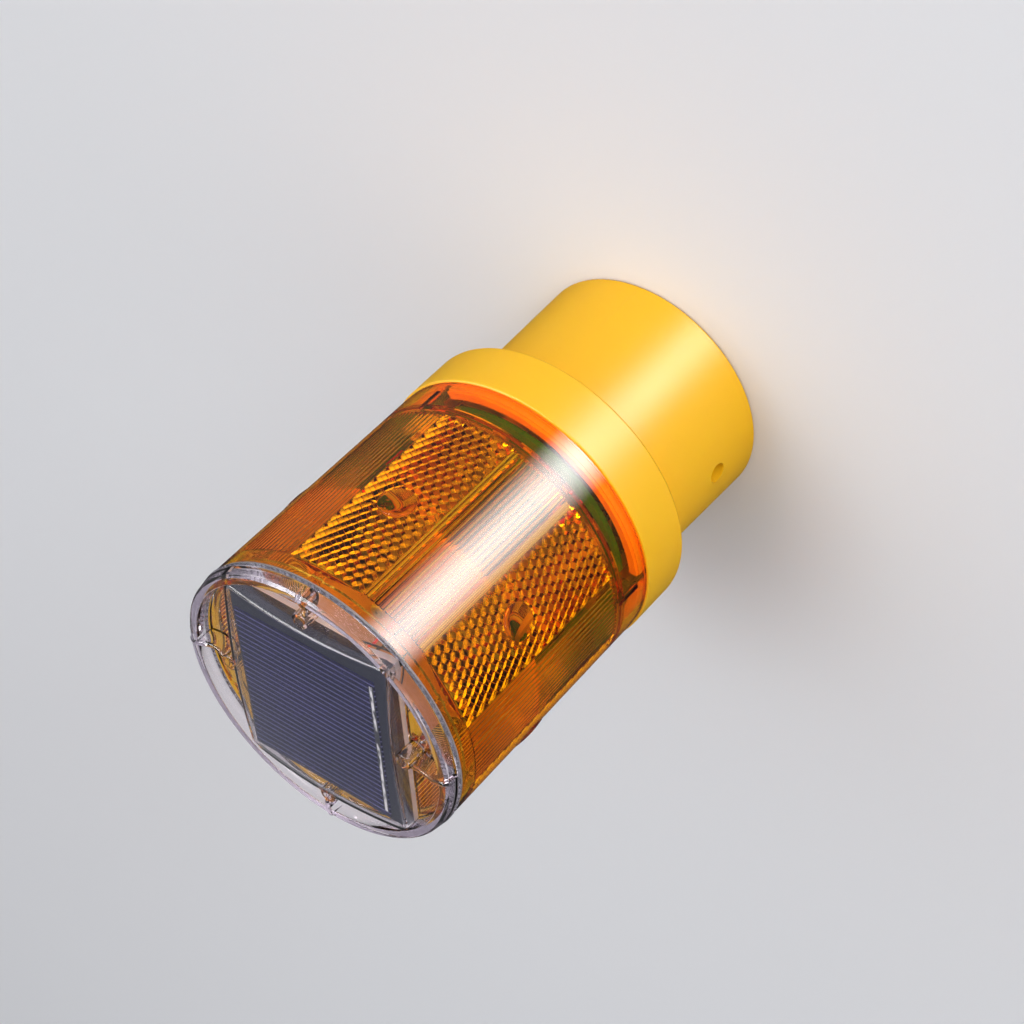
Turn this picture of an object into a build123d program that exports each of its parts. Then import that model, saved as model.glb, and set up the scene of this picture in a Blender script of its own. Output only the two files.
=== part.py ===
from build123d import *
import math
import os

# Solar barricade warning light, standing on the open end of its socket.
# The origin is the centre of that open end, and +Z runs up to the solar panel.
# All lengths are in millimetres and all angles in degrees.

full_turn = 360
half_turn = 180
quarter_turn = 90
overrun = 1.0

# Socket that slips over a cone tip or a post
socket_mouth_radius = 36.1
socket_neck_radius = 35.15
socket_depth = 45.0
socket_bore_radius = 32.2
socket_lead_in = 1.0
mouth_rounding = 0.8
bolt_hole_radius = 3.0
bolt_hole_height = 18.0

# Collar, the floor inside it and the spigot that the lens slips over
collar_radius = 43.0
collar_height = 16.0
collar_wall = 2.7
collar_rounding = 0.9
neck_rounding = 0.8
floor_thickness = 2.5
spigot_height = 3.4
spigot_wall = 2.0
spigot_root_depth = 3.0
lens_slip_clearance = 0.25

# Lens: flange, body, the ledge inside it and screw posts
flange_height = 12.0
flange_inset = 0.45
lens_wall = 2.0
lens_ledge_width = 2.9
lens_flare = 0.2
lens_body_length = 63.4
lens_band_height = 3.8
post_count = 3
post_first_angle = 60
post_radius = 2.5
post_inset = 3.2
post_seat_height = 2.0
post_notch_clearance = 0.3
post_web_width = 1.8

# Magnifier bulges in the middle of the six reflector panels
panel_count = 6
panel_first_angle = 30
bulge_radius = 5.0
bulge_rise = 0.5
bulge_above_flange = 34.0

# Sealing rings
lens_seal_section = 1.4
lens_seal_squeeze = 0.1
cover_seal_thickness = 0.4

# Clear cover: rim, pockets, panel box and dome
rim_overhang = 0.25
rim_bevel = 0.7
rim_edge_rise = 4.3
rim_ring_rise = 4.9
rim_ring_inset = 0.7
rim_ring_width = 2.1
rim_rounding = 0.3
pocket_floor_drop = 0.6
pocket_floor_thickness = 1.2
cover_slip_clearance = 0.6
cover_spigot_wall = 1.8
cover_spigot_depth = 3.8
box_width_share = 0.646
box_corner_overlap = 1.55
box_wall = 1.4
box_rounding = 1.2
crown_rise = 8.2
dome_radius_across = 167.0
dome_radius_along = 273.0
dome_thickness = 1.3
cover_boss_radius = 2.4
cover_boss_bore_radius = 1.25
cover_boss_rise = 5.3
cover_rib_width = 1.7
cover_rib_rise = 0.5
cover_rib_reach = 0.25
boss_box_overlap = 0.3

# Solar panel under the dome
panel_slip_clearance = 0.2
panel_thickness = 2.0
panel_headroom = 0.2
cell_border = 0.8
cell_ribbon_border = 4.3
cell_front_border = 6.9
cell_thickness = 0.25
ribbon_width = 1.5
ribbon_thickness = 0.12
ribbon_inset = 1.1
ribbon_end_margin = 2.0
bead_width = 1.6
bead_height = 1.5

# Fasteners
screw_shank_radius = 1.4
screw_head_radius = 2.3
screw_head_height = 1.8
screw_recess_radius = 0.55
screw_recess_depth = 1.0
screw_slack = 0.05
screw_hole_clearance = 0.2
lens_screw_length = 11.0
board_screw_length = 7.0
switch_screw_length = 3.6
small_shank_radius = 0.9
small_head_radius = 1.8
small_head_height = 1.2
pilot_end_gap = 1.0

# Control board
board_edge_gap = 2.25
board_thickness = 1.6
board_boss_radius = 3.5
board_boss_inset = 5.0
board_boss_count = 3
board_boss_first_angle = 30

# Light board and its standoffs
light_board_gap = 4.4
light_board_opening_radius = 5.0
standoff_circle_radius = 16.0
standoff_count = 3
standoff_first_angle = 30
standoff_across_flats = 5.0

# Round lamps
lamp_radius = 2.5
lamp_flange_radius = 2.9
lamp_flange_thickness = 1.0
lamp_body_length = 8.6
lamp_overhang = 2.6
lamp_board_gap = 0.05
lamp_leg_radius = 0.25
lamp_leg_pitch = 2.54
lamp_leg_run = 1.6

# Battery and its tray
battery_radius = 7.1
battery_length = 48.6
battery_nub_radius = 2.6
battery_nub_length = 1.4
battery_rounding = 0.5
battery_middle_y = -6.0
battery_clearance = 0.1
battery_headroom = 0.95
tray_side_clearance = 0.2
tray_wall = 1.2
tray_side_height = 9.0
tray_end_height = 8.0
contact_thickness = 0.5
contact_width = 9.0
contact_tab_height = 13.0
spring_length = 4.6
spring_radius = 3.0
spring_wire_radius = 0.4
spring_turns = 2.5

# Slide switch under the control board, reached from inside the socket
switch_middle_y = 18.0
switch_length = 15.0
switch_width = 7.6
switch_height = 6.0
switch_wall = 0.6
switch_travel = 3.0
bracket_length = 27.0
bracket_thickness = 0.6
bracket_rise = 1.5
bracket_boss_radius = 2.6
bracket_screw_spacing = 21.5
slider_length = 3.6
slider_width = 3.0
slider_tip_recess = 0.2
slider_slot_clearance = 0.4
slider_well_depth = 1.1
slider_well_margin = 3.4
slider_rounding = 0.5
slider_groove_depth = 0.35
slider_groove_pitch = 1.1
carriage_length = 7.0
carriage_width = 5.8
carriage_thickness = 1.6
carriage_clearance = 0.3
terminal_radius = 0.4
terminal_pitch = 4.0
terminal_length = 2.0

# Parts on the control board
chip_length = 9.6
chip_width = 6.4
chip_height = 3.2
chip_gap = 0.6
chip_leg_count = 4
chip_leg_pitch = 2.54
chip_leg_width = 0.5
chip_place_shares = (-0.11, 0.56)
inductor_radius = 4.0
inductor_height = 6.0
inductor_rim = 1.0
inductor_waist_radius = 3.2
inductor_place_shares = (-0.61, -0.11)
capacitor_radius = 3.2
capacitor_height = 11.0
capacitor_rounding = 0.5
capacitor_groove_height = 1.4
capacitor_groove_depth = 0.3
capacitor_place_shares = (0.61, -0.17)
resistor_count = 4
resistor_radius = 1.1
resistor_length = 6.0
resistor_pitch = 4.4
resistor_leg_radius = 0.3
resistor_leg_span = 9.0
resistor_place_shares = (-0.53, -0.54)
plug_length = 9.8
plug_width = 5.8
plug_height = 7.0
plug_wall = 0.9
plug_floor = 1.5
plug_place_shares = (0.36, -0.58)

# Insulated leads
lead_radius = 0.45
lead_bend_share = 0.45
battery_lead_reach = 6.4
battery_lead_drop = 2.85

# Radii and heights worked out from the sizes above
floor_top = socket_depth + floor_thickness
collar_top = socket_depth + collar_height
spigot_top = collar_top + spigot_height
flange_top = collar_top + flange_height
lens_head_height = flange_top + lens_body_length
lens_top_height = lens_head_height + lens_band_height
bulge_height = flange_top + bulge_above_flange
chamber_radius = collar_radius - collar_wall
flange_radius = collar_radius - flange_inset
flange_bore_radius = flange_radius - lens_wall
spigot_radius = flange_bore_radius - lens_slip_clearance
spigot_bore_radius = spigot_radius - spigot_wall
spigot_root_height = collar_top - spigot_root_depth
lens_ledge_radius = flange_radius - lens_wall - lens_ledge_width
lens_head_radius = flange_radius + lens_flare
post_circle_radius = flange_bore_radius - post_inset
post_foot_height = floor_top + post_seat_height
cover_foot_height = lens_top_height + cover_seal_thickness
pocket_floor_top = cover_foot_height - pocket_floor_drop
pocket_floor_under = pocket_floor_top - pocket_floor_thickness
ring_top_height = cover_foot_height + rim_ring_rise
crown_height = cover_foot_height + crown_rise
rim_radius = lens_head_radius + rim_overhang
rim_edge_radius = rim_radius - rim_bevel
rim_ring_outer_radius = rim_edge_radius - rim_ring_inset
rim_ring_inner_radius = rim_ring_outer_radius - rim_ring_width
cover_spigot_radius = lens_head_radius - lens_wall - cover_slip_clearance
box_corner_radius = rim_ring_inner_radius + box_corner_overlap
box_width = 2 * box_corner_radius * box_width_share
box_length = 2 * box_corner_radius * math.sqrt(1 - box_width_share ** 2)
cavity_length = box_length - 2 * box_wall
cavity_width = box_width - 2 * box_wall
dome_axis_height = crown_height - dome_radius_along
dome_sink_across = dome_radius_along - dome_radius_across
panel_length = cavity_length - 2 * panel_slip_clearance
panel_width = cavity_width - 2 * panel_slip_clearance
panel_arch_radius = dome_sink_across + math.sqrt((dome_radius_across - dome_thickness) ** 2
                                                 - (panel_width / 2) ** 2)
panel_ceiling = dome_axis_height + math.sqrt(panel_arch_radius ** 2 - (panel_length / 2) ** 2)
cell_length = panel_length - cell_border - cell_front_border
cell_width = panel_width - cell_border - cell_ribbon_border
cell_shift_x = (cell_ribbon_border - cell_border) / 2
cell_shift_y = (cell_front_border - cell_border) / 2
cell_top = panel_ceiling - panel_headroom - ribbon_thickness
panel_top = cell_top - cell_thickness
panel_under = panel_top - panel_thickness
tray_floor_top = floor_top + tray_wall
tray_width = 2 * (battery_radius + tray_side_clearance + tray_wall)
tray_inner_length = battery_length + battery_nub_length + spring_length + 2 * contact_thickness
tray_length = tray_inner_length + 2 * tray_wall
battery_height = tray_floor_top + battery_radius + battery_clearance
board_height = battery_height + battery_radius + battery_headroom
board_top = board_height + board_thickness
board_radius = spigot_bore_radius - board_edge_gap
board_boss_circle_radius = board_radius - board_boss_inset
chip_place_x, chip_place_y = (board_radius * share for share in chip_place_shares)
inductor_place_x, inductor_place_y = (board_radius * share for share in inductor_place_shares)
capacitor_place_x, capacitor_place_y = (board_radius * share for share in capacitor_place_shares)
resistor_place_x, resistor_place_y = (board_radius * share for share in resistor_place_shares)
plug_place_x, plug_place_y = (board_radius * share for share in plug_place_shares)
light_board_radius = lens_ledge_radius - light_board_gap
lamp_tip_radius = light_board_radius + lamp_overhang
light_board_top = bulge_height - lamp_flange_radius - lamp_board_gap
light_board_under = light_board_top - board_thickness
standoff_length = light_board_under - board_top
bracket_under = floor_top + bracket_rise
bracket_top = bracket_under + bracket_thickness
switch_top = bracket_top + switch_height
slider_tip_height = socket_depth + slider_tip_recess
slider_slot_length = slider_length + switch_travel + 2 * slider_slot_clearance
slider_slot_width = slider_width + 2 * slider_slot_clearance


def turned(outline, corners=()):
    """Spin a closed outline of radius and height pairs about the axis, with some corners rounded."""
    face = make_face(Polyline(*outline, close=True))
    for place, rounding in corners:
        corner = face.vertices().sort_by_distance(Vector(place[0], place[1], 0))[0]
        face = fillet(corner, rounding)
    return revolve(Plane.XZ * face, Axis.Z)


def column(radius, low, high, x=0, y=0):
    """An upright cylinder between two heights."""
    middle = (low + high) / 2
    return Pos(x, y, middle) * Cylinder(radius, high - low)


def block(size_x, size_y, low, high, x=0, y=0):
    """An upright block between two heights."""
    middle = (low + high) / 2
    return Pos(x, y, middle) * Box(size_x, size_y, high - low)


def ring_places(count, circle_radius, first_angle):
    """Points evenly spaced on a circle."""
    places = []
    for number in range(count):
        angle = math.radians(first_angle + number * full_turn / count)
        places.append((circle_radius * math.cos(angle), circle_radius * math.sin(angle)))
    return places


def ring_angles(count, first_angle):
    """Angles evenly spaced round the axis."""
    return [first_angle + number * full_turn / count for number in range(count)]


post_places = ring_places(post_count, post_circle_radius, post_first_angle)
board_boss_places = ring_places(board_boss_count, board_boss_circle_radius, board_boss_first_angle)
standoff_places = ring_places(standoff_count, standoff_circle_radius, standoff_first_angle)
bracket_screw_places = [(-bracket_screw_spacing / 2, switch_middle_y),
                        (bracket_screw_spacing / 2, switch_middle_y)]


def pan_screw(x, y, seat, length, shank_radius, head_radius, head_height, head_up):
    """A pan-head screw with a round drive recess, its head's flat face at the seat height."""
    side = 1 if head_up else -1
    head_end = seat + side * head_height
    tip = seat - side * length
    head = column(head_radius, min(seat, head_end), max(seat, head_end), x, y)
    rim = head.edges().filter_by(GeomType.CIRCLE).sort_by(Axis.Z)
    crown_edge = rim[-1] if head_up else rim[0]
    head = fillet(crown_edge, head_height / 2)
    shank = column(shank_radius, min(seat, tip), max(seat, tip), x, y)
    shank_rim = shank.edges().filter_by(GeomType.CIRCLE).sort_by(Axis.Z)
    tip_edge = shank_rim[0] if head_up else shank_rim[-1]
    shank = chamfer(tip_edge, shank_radius / 2)
    screw = head + shank
    recess_low = head_end - screw_recess_depth if head_up else head_end
    recess_high = head_end if head_up else head_end + screw_recess_depth
    return screw - column(screw_recess_radius, recess_low, recess_high, x, y)


def base_housing():
    """Socket, collar, floor and spigot in one moulding, with its bosses and holes."""
    funnel = chamber_radius - spigot_bore_radius
    outline = [(socket_bore_radius + socket_lead_in, 0),
               (socket_mouth_radius, 0),
               (socket_neck_radius, socket_depth),
               (collar_radius, socket_depth),
               (collar_radius, collar_top),
               (spigot_radius, collar_top),
               (spigot_radius, spigot_top),
               (spigot_bore_radius, spigot_top),
               (spigot_bore_radius, spigot_root_height),
               (chamber_radius, spigot_root_height - funnel),
               (chamber_radius, floor_top),
               (0, floor_top),
               (0, socket_depth),
               (socket_bore_radius, socket_depth),
               (socket_bore_radius, socket_lead_in)]
    corners = [((socket_mouth_radius, 0), mouth_rounding),
               ((socket_neck_radius, socket_depth), neck_rounding),
               ((collar_radius, socket_depth), collar_rounding),
               ((collar_radius, collar_top), collar_rounding / 2)]
    housing = turned(outline, corners)

    # Bosses for the control board, each with a blind pilot hole
    for x, y in board_boss_places:
        housing += column(board_boss_radius, floor_top - floor_thickness / 2, board_height, x, y)
        pilot_foot = board_height - board_screw_length + board_thickness - pilot_end_gap
        housing -= column(screw_shank_radius + screw_slack, pilot_foot, board_height + overrun, x, y)

    # Seats for the lens posts, with a screw hole and a head recess under the floor
    recess_top = socket_depth + floor_thickness / 2
    for x, y in post_places:
        angle = math.degrees(math.atan2(y, x))
        housing += column(post_radius, floor_top - floor_thickness / 2, post_foot_height, x, y)
        housing -= column(screw_shank_radius + screw_hole_clearance, socket_depth - overrun,
                          post_foot_height + overrun, x, y)
        housing -= column(screw_head_radius + screw_hole_clearance, socket_depth - overrun,
                          recess_top, x, y)
        housing -= column(post_radius + post_notch_clearance, post_foot_height,
                          spigot_top + overrun, x, y)
        notch_width = 2 * (post_radius + post_notch_clearance)
        notch = Pos(post_circle_radius + spigot_wall, 0, 0) * block(
            2 * spigot_wall + post_radius, notch_width, collar_top, spigot_top + overrun)
        housing -= Rot(0, 0, angle) * notch

    # Groove round the spigot for the sealing ring
    groove_height = (collar_top + spigot_top) / 2
    groove_low = groove_height - lens_seal_section / 2
    groove_high = groove_height + lens_seal_section / 2
    groove_radius = flange_bore_radius - lens_seal_section + lens_seal_squeeze
    groove = column(spigot_radius + overrun, groove_low, groove_high)
    groove -= column(groove_radius, groove_low, groove_high)
    housing -= groove

    # Cross bolt holes through both walls of the socket
    bolt_bore = Pos(0, 0, bolt_hole_height) * Rot(0, quarter_turn, 0) * Cylinder(
        bolt_hole_radius, 2 * socket_mouth_radius + 2 * overrun)
    housing -= bolt_bore

    # Low bosses for the switch bracket, the slider's slot and a finger well round it
    for x, y in bracket_screw_places:
        housing += column(bracket_boss_radius, floor_top - floor_thickness / 2, bracket_under, x, y)
        pilot_foot = bracket_top - switch_screw_length - screw_slack
        housing -= column(small_shank_radius + screw_slack, pilot_foot, bracket_under + overrun, x, y)
    housing -= block(slider_slot_length, slider_slot_width, socket_depth - overrun,
                     floor_top + overrun, 0, switch_middle_y)
    well = block(slider_slot_length + 2 * slider_well_margin, slider_slot_width + 2 * slider_well_margin,
                 socket_depth - overrun, socket_depth + slider_well_depth, 0, switch_middle_y)
    well = fillet(well.edges().filter_by(Axis.Z), slider_well_margin)
    return housing - well


def bulge(angle):
    """A magnifier bulge: a slice of a ball standing proud of the lens wall."""
    rise_share = (bulge_height - flange_top) / (lens_head_height - flange_top)
    wall_radius = flange_radius + lens_flare * rise_share
    ball_radius = (bulge_radius ** 2 + bulge_rise ** 2) / (2 * bulge_rise)
    ball_place = wall_radius + bulge_rise - ball_radius
    inner_reach = wall_radius - lens_wall / 2
    plug = Pos(inner_reach + lens_wall, 0, 0) * Rot(0, quarter_turn, 0) * Cylinder(
        bulge_radius, 2 * lens_wall)
    ball = Pos(ball_place, 0, 0) * Sphere(ball_radius)
    return Rot(0, 0, angle) * Pos(0, 0, bulge_height) * (ball & plug)


def amber_lens():
    """Tinted lens: flange, flared body, an inner ledge, three screw posts and six magnifier bulges."""
    outline = [(flange_bore_radius, collar_top),
               (flange_radius, collar_top),
               (flange_radius, flange_top),
               (lens_head_radius, lens_head_height),
               (lens_head_radius, lens_top_height),
               (lens_head_radius - lens_wall, lens_top_height),
               (lens_head_radius - lens_wall, lens_head_height),
               (flange_bore_radius, flange_top),
               (lens_ledge_radius, flange_top),
               (lens_ledge_radius, flange_top - lens_wall),
               (flange_bore_radius, flange_top - lens_wall)]
    lens = turned(outline)
    for angle in ring_angles(panel_count, panel_first_angle):
        lens += bulge(angle)
    for x, y in post_places:
        angle = math.degrees(math.atan2(y, x))
        post = column(post_radius, post_foot_height, flange_top - lens_wall / 2, x, y)
        web_reach = flange_bore_radius + lens_wall / 2 - post_circle_radius
        web = Rot(0, 0, angle) * Pos(post_circle_radius + web_reach / 2, 0, 0) * block(
            web_reach, post_web_width, spigot_top, flange_top - lens_wall / 2)
        lens += post + web
        pilot_top = socket_depth + floor_thickness / 2 + lens_screw_length + pilot_end_gap
        lens -= column(screw_shank_radius + screw_slack, post_foot_height - overrun, pilot_top, x, y)
    return lens


def lens_seal():
    """Square sealing ring in the spigot's groove, pressed by the flange's bore."""
    groove_height = (collar_top + spigot_top) / 2
    inner = flange_bore_radius - lens_seal_section + lens_seal_squeeze
    low = groove_height - lens_seal_section / 2
    high = groove_height + lens_seal_section / 2
    ring = column(flange_bore_radius, low, high) - column(inner, low, high)
    for x, y in post_places:
        angle = math.degrees(math.atan2(y, x))
        gap_width = 2 * (post_radius + post_notch_clearance)
        gap = Pos(flange_bore_radius, 0, 0) * block(
            4 * lens_seal_section, gap_width, low - overrun, high + overrun)
        ring -= Rot(0, 0, angle) * gap
    return ring


def cover_seal():
    """Thin sealing ring between the lens's top edge and the clear cover."""
    ring = column(lens_head_radius, lens_top_height, cover_foot_height)
    return ring - column(lens_head_radius - lens_wall, lens_top_height, cover_foot_height)


def below_dome(depth):
    """The space under the shallow dome, this far below its outside: an arch across X, spun about X."""
    half_span = box_corner_radius
    arch_radius = dome_radius_across - depth
    arch_centre = dome_axis_height + dome_sink_across
    arch_end = arch_centre + math.sqrt(arch_radius ** 2 - half_span ** 2)
    crown = arch_centre + arch_radius
    sides = Polyline((half_span, arch_end), (half_span, dome_axis_height),
                     (-half_span, dome_axis_height), (-half_span, arch_end))
    arch = ThreePointArc((-half_span, arch_end), (0, crown), (half_span, arch_end))
    face = make_face([*sides.edges(), arch])
    return revolve(Plane.XZ * face, Axis((0, 0, dome_axis_height), (1, 0, 0)))


def cover_arm(box_half, angle):
    """A hollow boss against the panel box, with a rib that runs out over the ring."""
    boss_place = box_half + cover_boss_radius - boss_box_overlap
    boss_top = cover_foot_height + cover_boss_rise
    rib_top = ring_top_height + cover_rib_rise
    rib_end = rim_edge_radius + cover_rib_reach
    boss = column(cover_boss_radius, pocket_floor_under, boss_top, boss_place, 0)
    boss_edge = boss.edges().filter_by(GeomType.CIRCLE).sort_by(Axis.Z)[-1]
    boss = fillet(boss_edge, cover_rib_width / 4)
    rib_length = rib_end - boss_place
    rib_middle = boss_place + rib_length / 2
    rib = block(rib_length, cover_rib_width, cover_foot_height, rib_top, rib_middle, 0)
    hook_edge = rib.edges().filter_by(Axis.Y).sort_by(Axis.X)[-2:].sort_by(Axis.Z)[-1]
    rib = fillet(hook_edge, 2 * cover_rib_width)
    foot_length = cover_spigot_radius - cover_spigot_wall / 2 - boss_place
    foot_middle = boss_place + foot_length / 2
    rib += block(foot_length, cover_rib_width, pocket_floor_under, rib_top, foot_middle, 0)
    bore = column(cover_boss_bore_radius, pocket_floor_top, boss_top + overrun, boss_place, 0)
    return Rot(0, 0, angle) * (boss + rib), Rot(0, 0, angle) * bore


def solar_cover():
    """Clear cover: rim ring, four pockets, domed panel box, and four ribbed bosses."""
    spigot_foot = cover_foot_height - cover_spigot_depth
    outline = [(0, pocket_floor_under),
               (cover_spigot_radius - cover_spigot_wall, pocket_floor_under),
               (cover_spigot_radius - cover_spigot_wall, spigot_foot),
               (cover_spigot_radius, spigot_foot),
               (cover_spigot_radius, cover_foot_height),
               (rim_radius, cover_foot_height),
               (rim_edge_radius, cover_foot_height + rim_edge_rise),
               (rim_ring_outer_radius, ring_top_height),
               (rim_ring_inner_radius, ring_top_height),
               (rim_ring_inner_radius, pocket_floor_top),
               (0, pocket_floor_top)]
    corners = [((rim_radius, cover_foot_height), rim_rounding),
               ((rim_edge_radius, cover_foot_height + rim_edge_rise), rim_rounding),
               ((rim_ring_inner_radius, ring_top_height), rim_rounding)]
    cover = turned(outline, corners)

    envelope = turned([(0, pocket_floor_under),
                       (cover_spigot_radius, pocket_floor_under),
                       (cover_spigot_radius, cover_foot_height),
                       (rim_radius, cover_foot_height),
                       (rim_edge_radius, cover_foot_height + rim_edge_rise),
                       (rim_edge_radius, crown_height + overrun),
                       (0, crown_height + overrun)])
    box = block(box_width, box_length, pocket_floor_under, crown_height + overrun)
    box = fillet(box.edges().filter_by(Axis.Z), box_rounding)
    box = box & below_dome(0) & envelope

    bores = []
    arms = [(box_width / 2, 0), (box_length / 2, quarter_turn),
            (box_width / 2, half_turn), (box_length / 2, half_turn + quarter_turn)]
    for box_half, angle in arms:
        arm, bore = cover_arm(box_half, angle)
        cover += arm
        bores.append(bore)
    cover += box
    for bore in bores:
        cover -= bore
    cavity = block(cavity_width, cavity_length, spigot_foot - overrun, crown_height)
    cavity = cavity & below_dome(dome_thickness)
    return cover - cavity


def panel_sealant():
    """Bead of sealant under the panel's edge, against the walls of its box."""
    low = panel_under - bead_height
    ring = block(cavity_width, cavity_length, low, panel_under)
    inner_width = panel_width - 2 * bead_width
    inner_length = panel_length - 2 * bead_width
    return ring - block(inner_width, inner_length, low, panel_under)


def solar_laminate():
    """Dark backing plate of the solar panel."""
    return block(panel_width, panel_length, panel_under, panel_top)


def solar_cell():
    """The silicon cell on the laminate."""
    return block(cell_width, cell_length, panel_top, cell_top, cell_shift_x, cell_shift_y)


def cell_ribbon():
    """Tinned ribbon soldered along one side of the cell."""
    place_x = cell_shift_x - cell_width / 2 + ribbon_inset
    length = cell_length - 2 * ribbon_end_margin
    return block(ribbon_width, length, cell_top, cell_top + ribbon_thickness, place_x, cell_shift_y)


def control_board():
    """Round board on three bosses, notched for the lens posts."""
    board = column(board_radius, board_height, board_top)
    for x, y in post_places:
        board -= column(post_radius + post_notch_clearance, board_height - overrun,
                        board_top + overrun, x, y)
    for x, y in board_boss_places + standoff_places:
        board -= column(screw_shank_radius + screw_hole_clearance, board_height - overrun,
                        board_top + overrun, x, y)
    return board


def light_board():
    """Round board that carries the six lamps, open in the middle for the leads."""
    board = column(light_board_radius, light_board_under, light_board_top)
    board -= column(light_board_opening_radius, light_board_under - overrun, light_board_top + overrun)
    for x, y in standoff_places:
        board -= column(screw_shank_radius + screw_hole_clearance, light_board_under - overrun,
                        light_board_top + overrun, x, y)
    leg_place = lamp_tip_radius - lamp_body_length - lamp_leg_run
    hole_radius = lamp_leg_radius + lamp_board_gap
    for angle in ring_angles(panel_count, panel_first_angle):
        for side in (-1, 1):
            hole = column(hole_radius, light_board_under - overrun, light_board_top + overrun,
                          leg_place, side * lamp_leg_pitch / 2)
            board -= Rot(0, 0, angle) * hole
    return board


def lamp(angle):
    """A round-nosed lamp lying on the light board, facing outward, with two bent legs."""
    barrel_length = lamp_body_length - lamp_radius
    outline = [(0, 0), (lamp_flange_radius, 0), (lamp_flange_radius, lamp_flange_thickness),
               (lamp_radius, lamp_flange_thickness), (lamp_radius, barrel_length), (0, barrel_length)]
    body = turned(outline) + Pos(0, 0, barrel_length) * Sphere(lamp_radius)
    body = Rot(0, quarter_turn, 0) * body
    legs = Part()
    leg_foot = light_board_under - bulge_height
    for side in (-1, 1):
        y = side * lamp_leg_pitch / 2
        path = FilletPolyline((lamp_flange_thickness / 2, y, 0), (-lamp_leg_run, y, 0),
                              (-lamp_leg_run, y, leg_foot), radius=2 * lamp_leg_radius)
        section = Plane(origin=path @ 0, z_dir=path % 0) * Circle(lamp_leg_radius)
        legs += sweep(section, path=path)
    place = Pos(lamp_tip_radius - lamp_body_length, 0, bulge_height)
    return Rot(0, 0, angle) * place * (body + legs)


def standoffs():
    """Hexagonal standoffs between the two boards."""
    group = []
    for x, y in standoff_places:
        corner_radius = standoff_across_flats / math.sqrt(3)
        hexagon = Pos(x, y, board_top) * RegularPolygon(corner_radius, 6)
        standoff = extrude(hexagon, standoff_length)
        standoff -= column(screw_shank_radius + screw_slack, board_top - overrun,
                           light_board_under + overrun, x, y)
        group.append(standoff)
    return Compound(children=group)


def screws(places, seat, length, head_up):
    """A group of like screws."""
    group = []
    for x, y in places:
        group.append(pan_screw(x, y, seat, length, screw_shank_radius, screw_head_radius,
                               screw_head_height, head_up))
    return Compound(children=group)


def bracket_screws():
    """The two small screws of the switch bracket."""
    group = []
    for x, y in bracket_screw_places:
        group.append(pan_screw(x, y, bracket_top, switch_screw_length, small_shank_radius,
                               small_head_radius, small_head_height, True))
    return Compound(children=group)


def battery_cell():
    """Round rechargeable cell lying across the chamber, its nub towards +X."""
    outline = [(0, 0), (battery_radius, 0), (battery_radius, battery_length),
               (battery_nub_radius, battery_length),
               (battery_nub_radius, battery_length + battery_nub_length),
               (0, battery_length + battery_nub_length)]
    corners = [((battery_radius, 0), battery_rounding),
               ((battery_radius, battery_length), battery_rounding)]
    cell = Rot(0, quarter_turn, 0) * turned(outline, corners)
    nub_end = tray_inner_length / 2 - contact_thickness
    start = nub_end - battery_length - battery_nub_length
    return Pos(start, battery_middle_y, battery_height) * cell


def battery_tray():
    """Open tray for the cell, with a low wall at each end."""
    tray = block(tray_length, tray_width, floor_top, floor_top + tray_side_height,
                 0, battery_middle_y)
    inner_width = tray_width - 2 * tray_wall
    tray -= block(tray_inner_length, inner_width, tray_floor_top, floor_top + tray_side_height + overrun,
                  0, battery_middle_y)
    tray -= block(tray_length + overrun, contact_width, floor_top + tray_end_height,
                  floor_top + tray_side_height + overrun, 0, battery_middle_y)
    tray = fillet(tray.edges().filter_by(Axis.Z).group_by(SortBy.DISTANCE)[-1], tray_wall / 2)
    return tray


def contact_plate(side):
    """A plated contact inside one end wall, with a tab that stands above the tray."""
    x = side * (tray_inner_length - contact_thickness) / 2
    plate = block(contact_thickness, contact_width, tray_floor_top, floor_top + contact_tab_height,
                  x, battery_middle_y)
    return fillet(plate.edges().filter_by(Axis.X).sort_by(Axis.Z)[-2:], contact_width / 6)


def battery_spring():
    """Coil spring that pushes the cell's flat end, joined to its contact plate."""
    wall_face = contact_thickness - tray_inner_length / 2
    height = spring_length - 2 * spring_wire_radius
    path = Helix(height / spring_turns, height, spring_radius, direction=(1, 0, 0),
                 center=(wall_face + spring_wire_radius, battery_middle_y, battery_height))
    section = Plane(origin=path @ 0, z_dir=path % 0) * Circle(spring_wire_radius)
    return sweep(section, path=path, is_frenet=True)


def switch_body():
    """Slide switch: a hollow can on a drilled bracket, with three terminals on top."""
    can = block(switch_length, switch_width, bracket_under, switch_top, 0, switch_middle_y)
    can = fillet(can.edges().filter_by(Axis.Z), switch_wall)
    can += block(bracket_length, switch_width, bracket_under, bracket_top, 0, switch_middle_y)
    cavity_x = carriage_length + switch_travel + 2 * carriage_clearance
    cavity_y = carriage_width + 2 * carriage_clearance
    cavity_z = bracket_top + carriage_thickness + 2 * carriage_clearance
    can -= block(cavity_x, cavity_y, bracket_top, cavity_z, 0, switch_middle_y)
    can -= block(slider_slot_length, slider_slot_width, bracket_under - overrun,
                 bracket_top + overrun, 0, switch_middle_y)
    for x, y in bracket_screw_places:
        can -= column(small_shank_radius + screw_hole_clearance, bracket_under - overrun,
                      bracket_top + overrun, x, y)
    for number in (-1, 0, 1):
        can += column(terminal_radius, switch_top - switch_wall, switch_top + terminal_length,
                      number * terminal_pitch, switch_middle_y)
    return can


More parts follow.
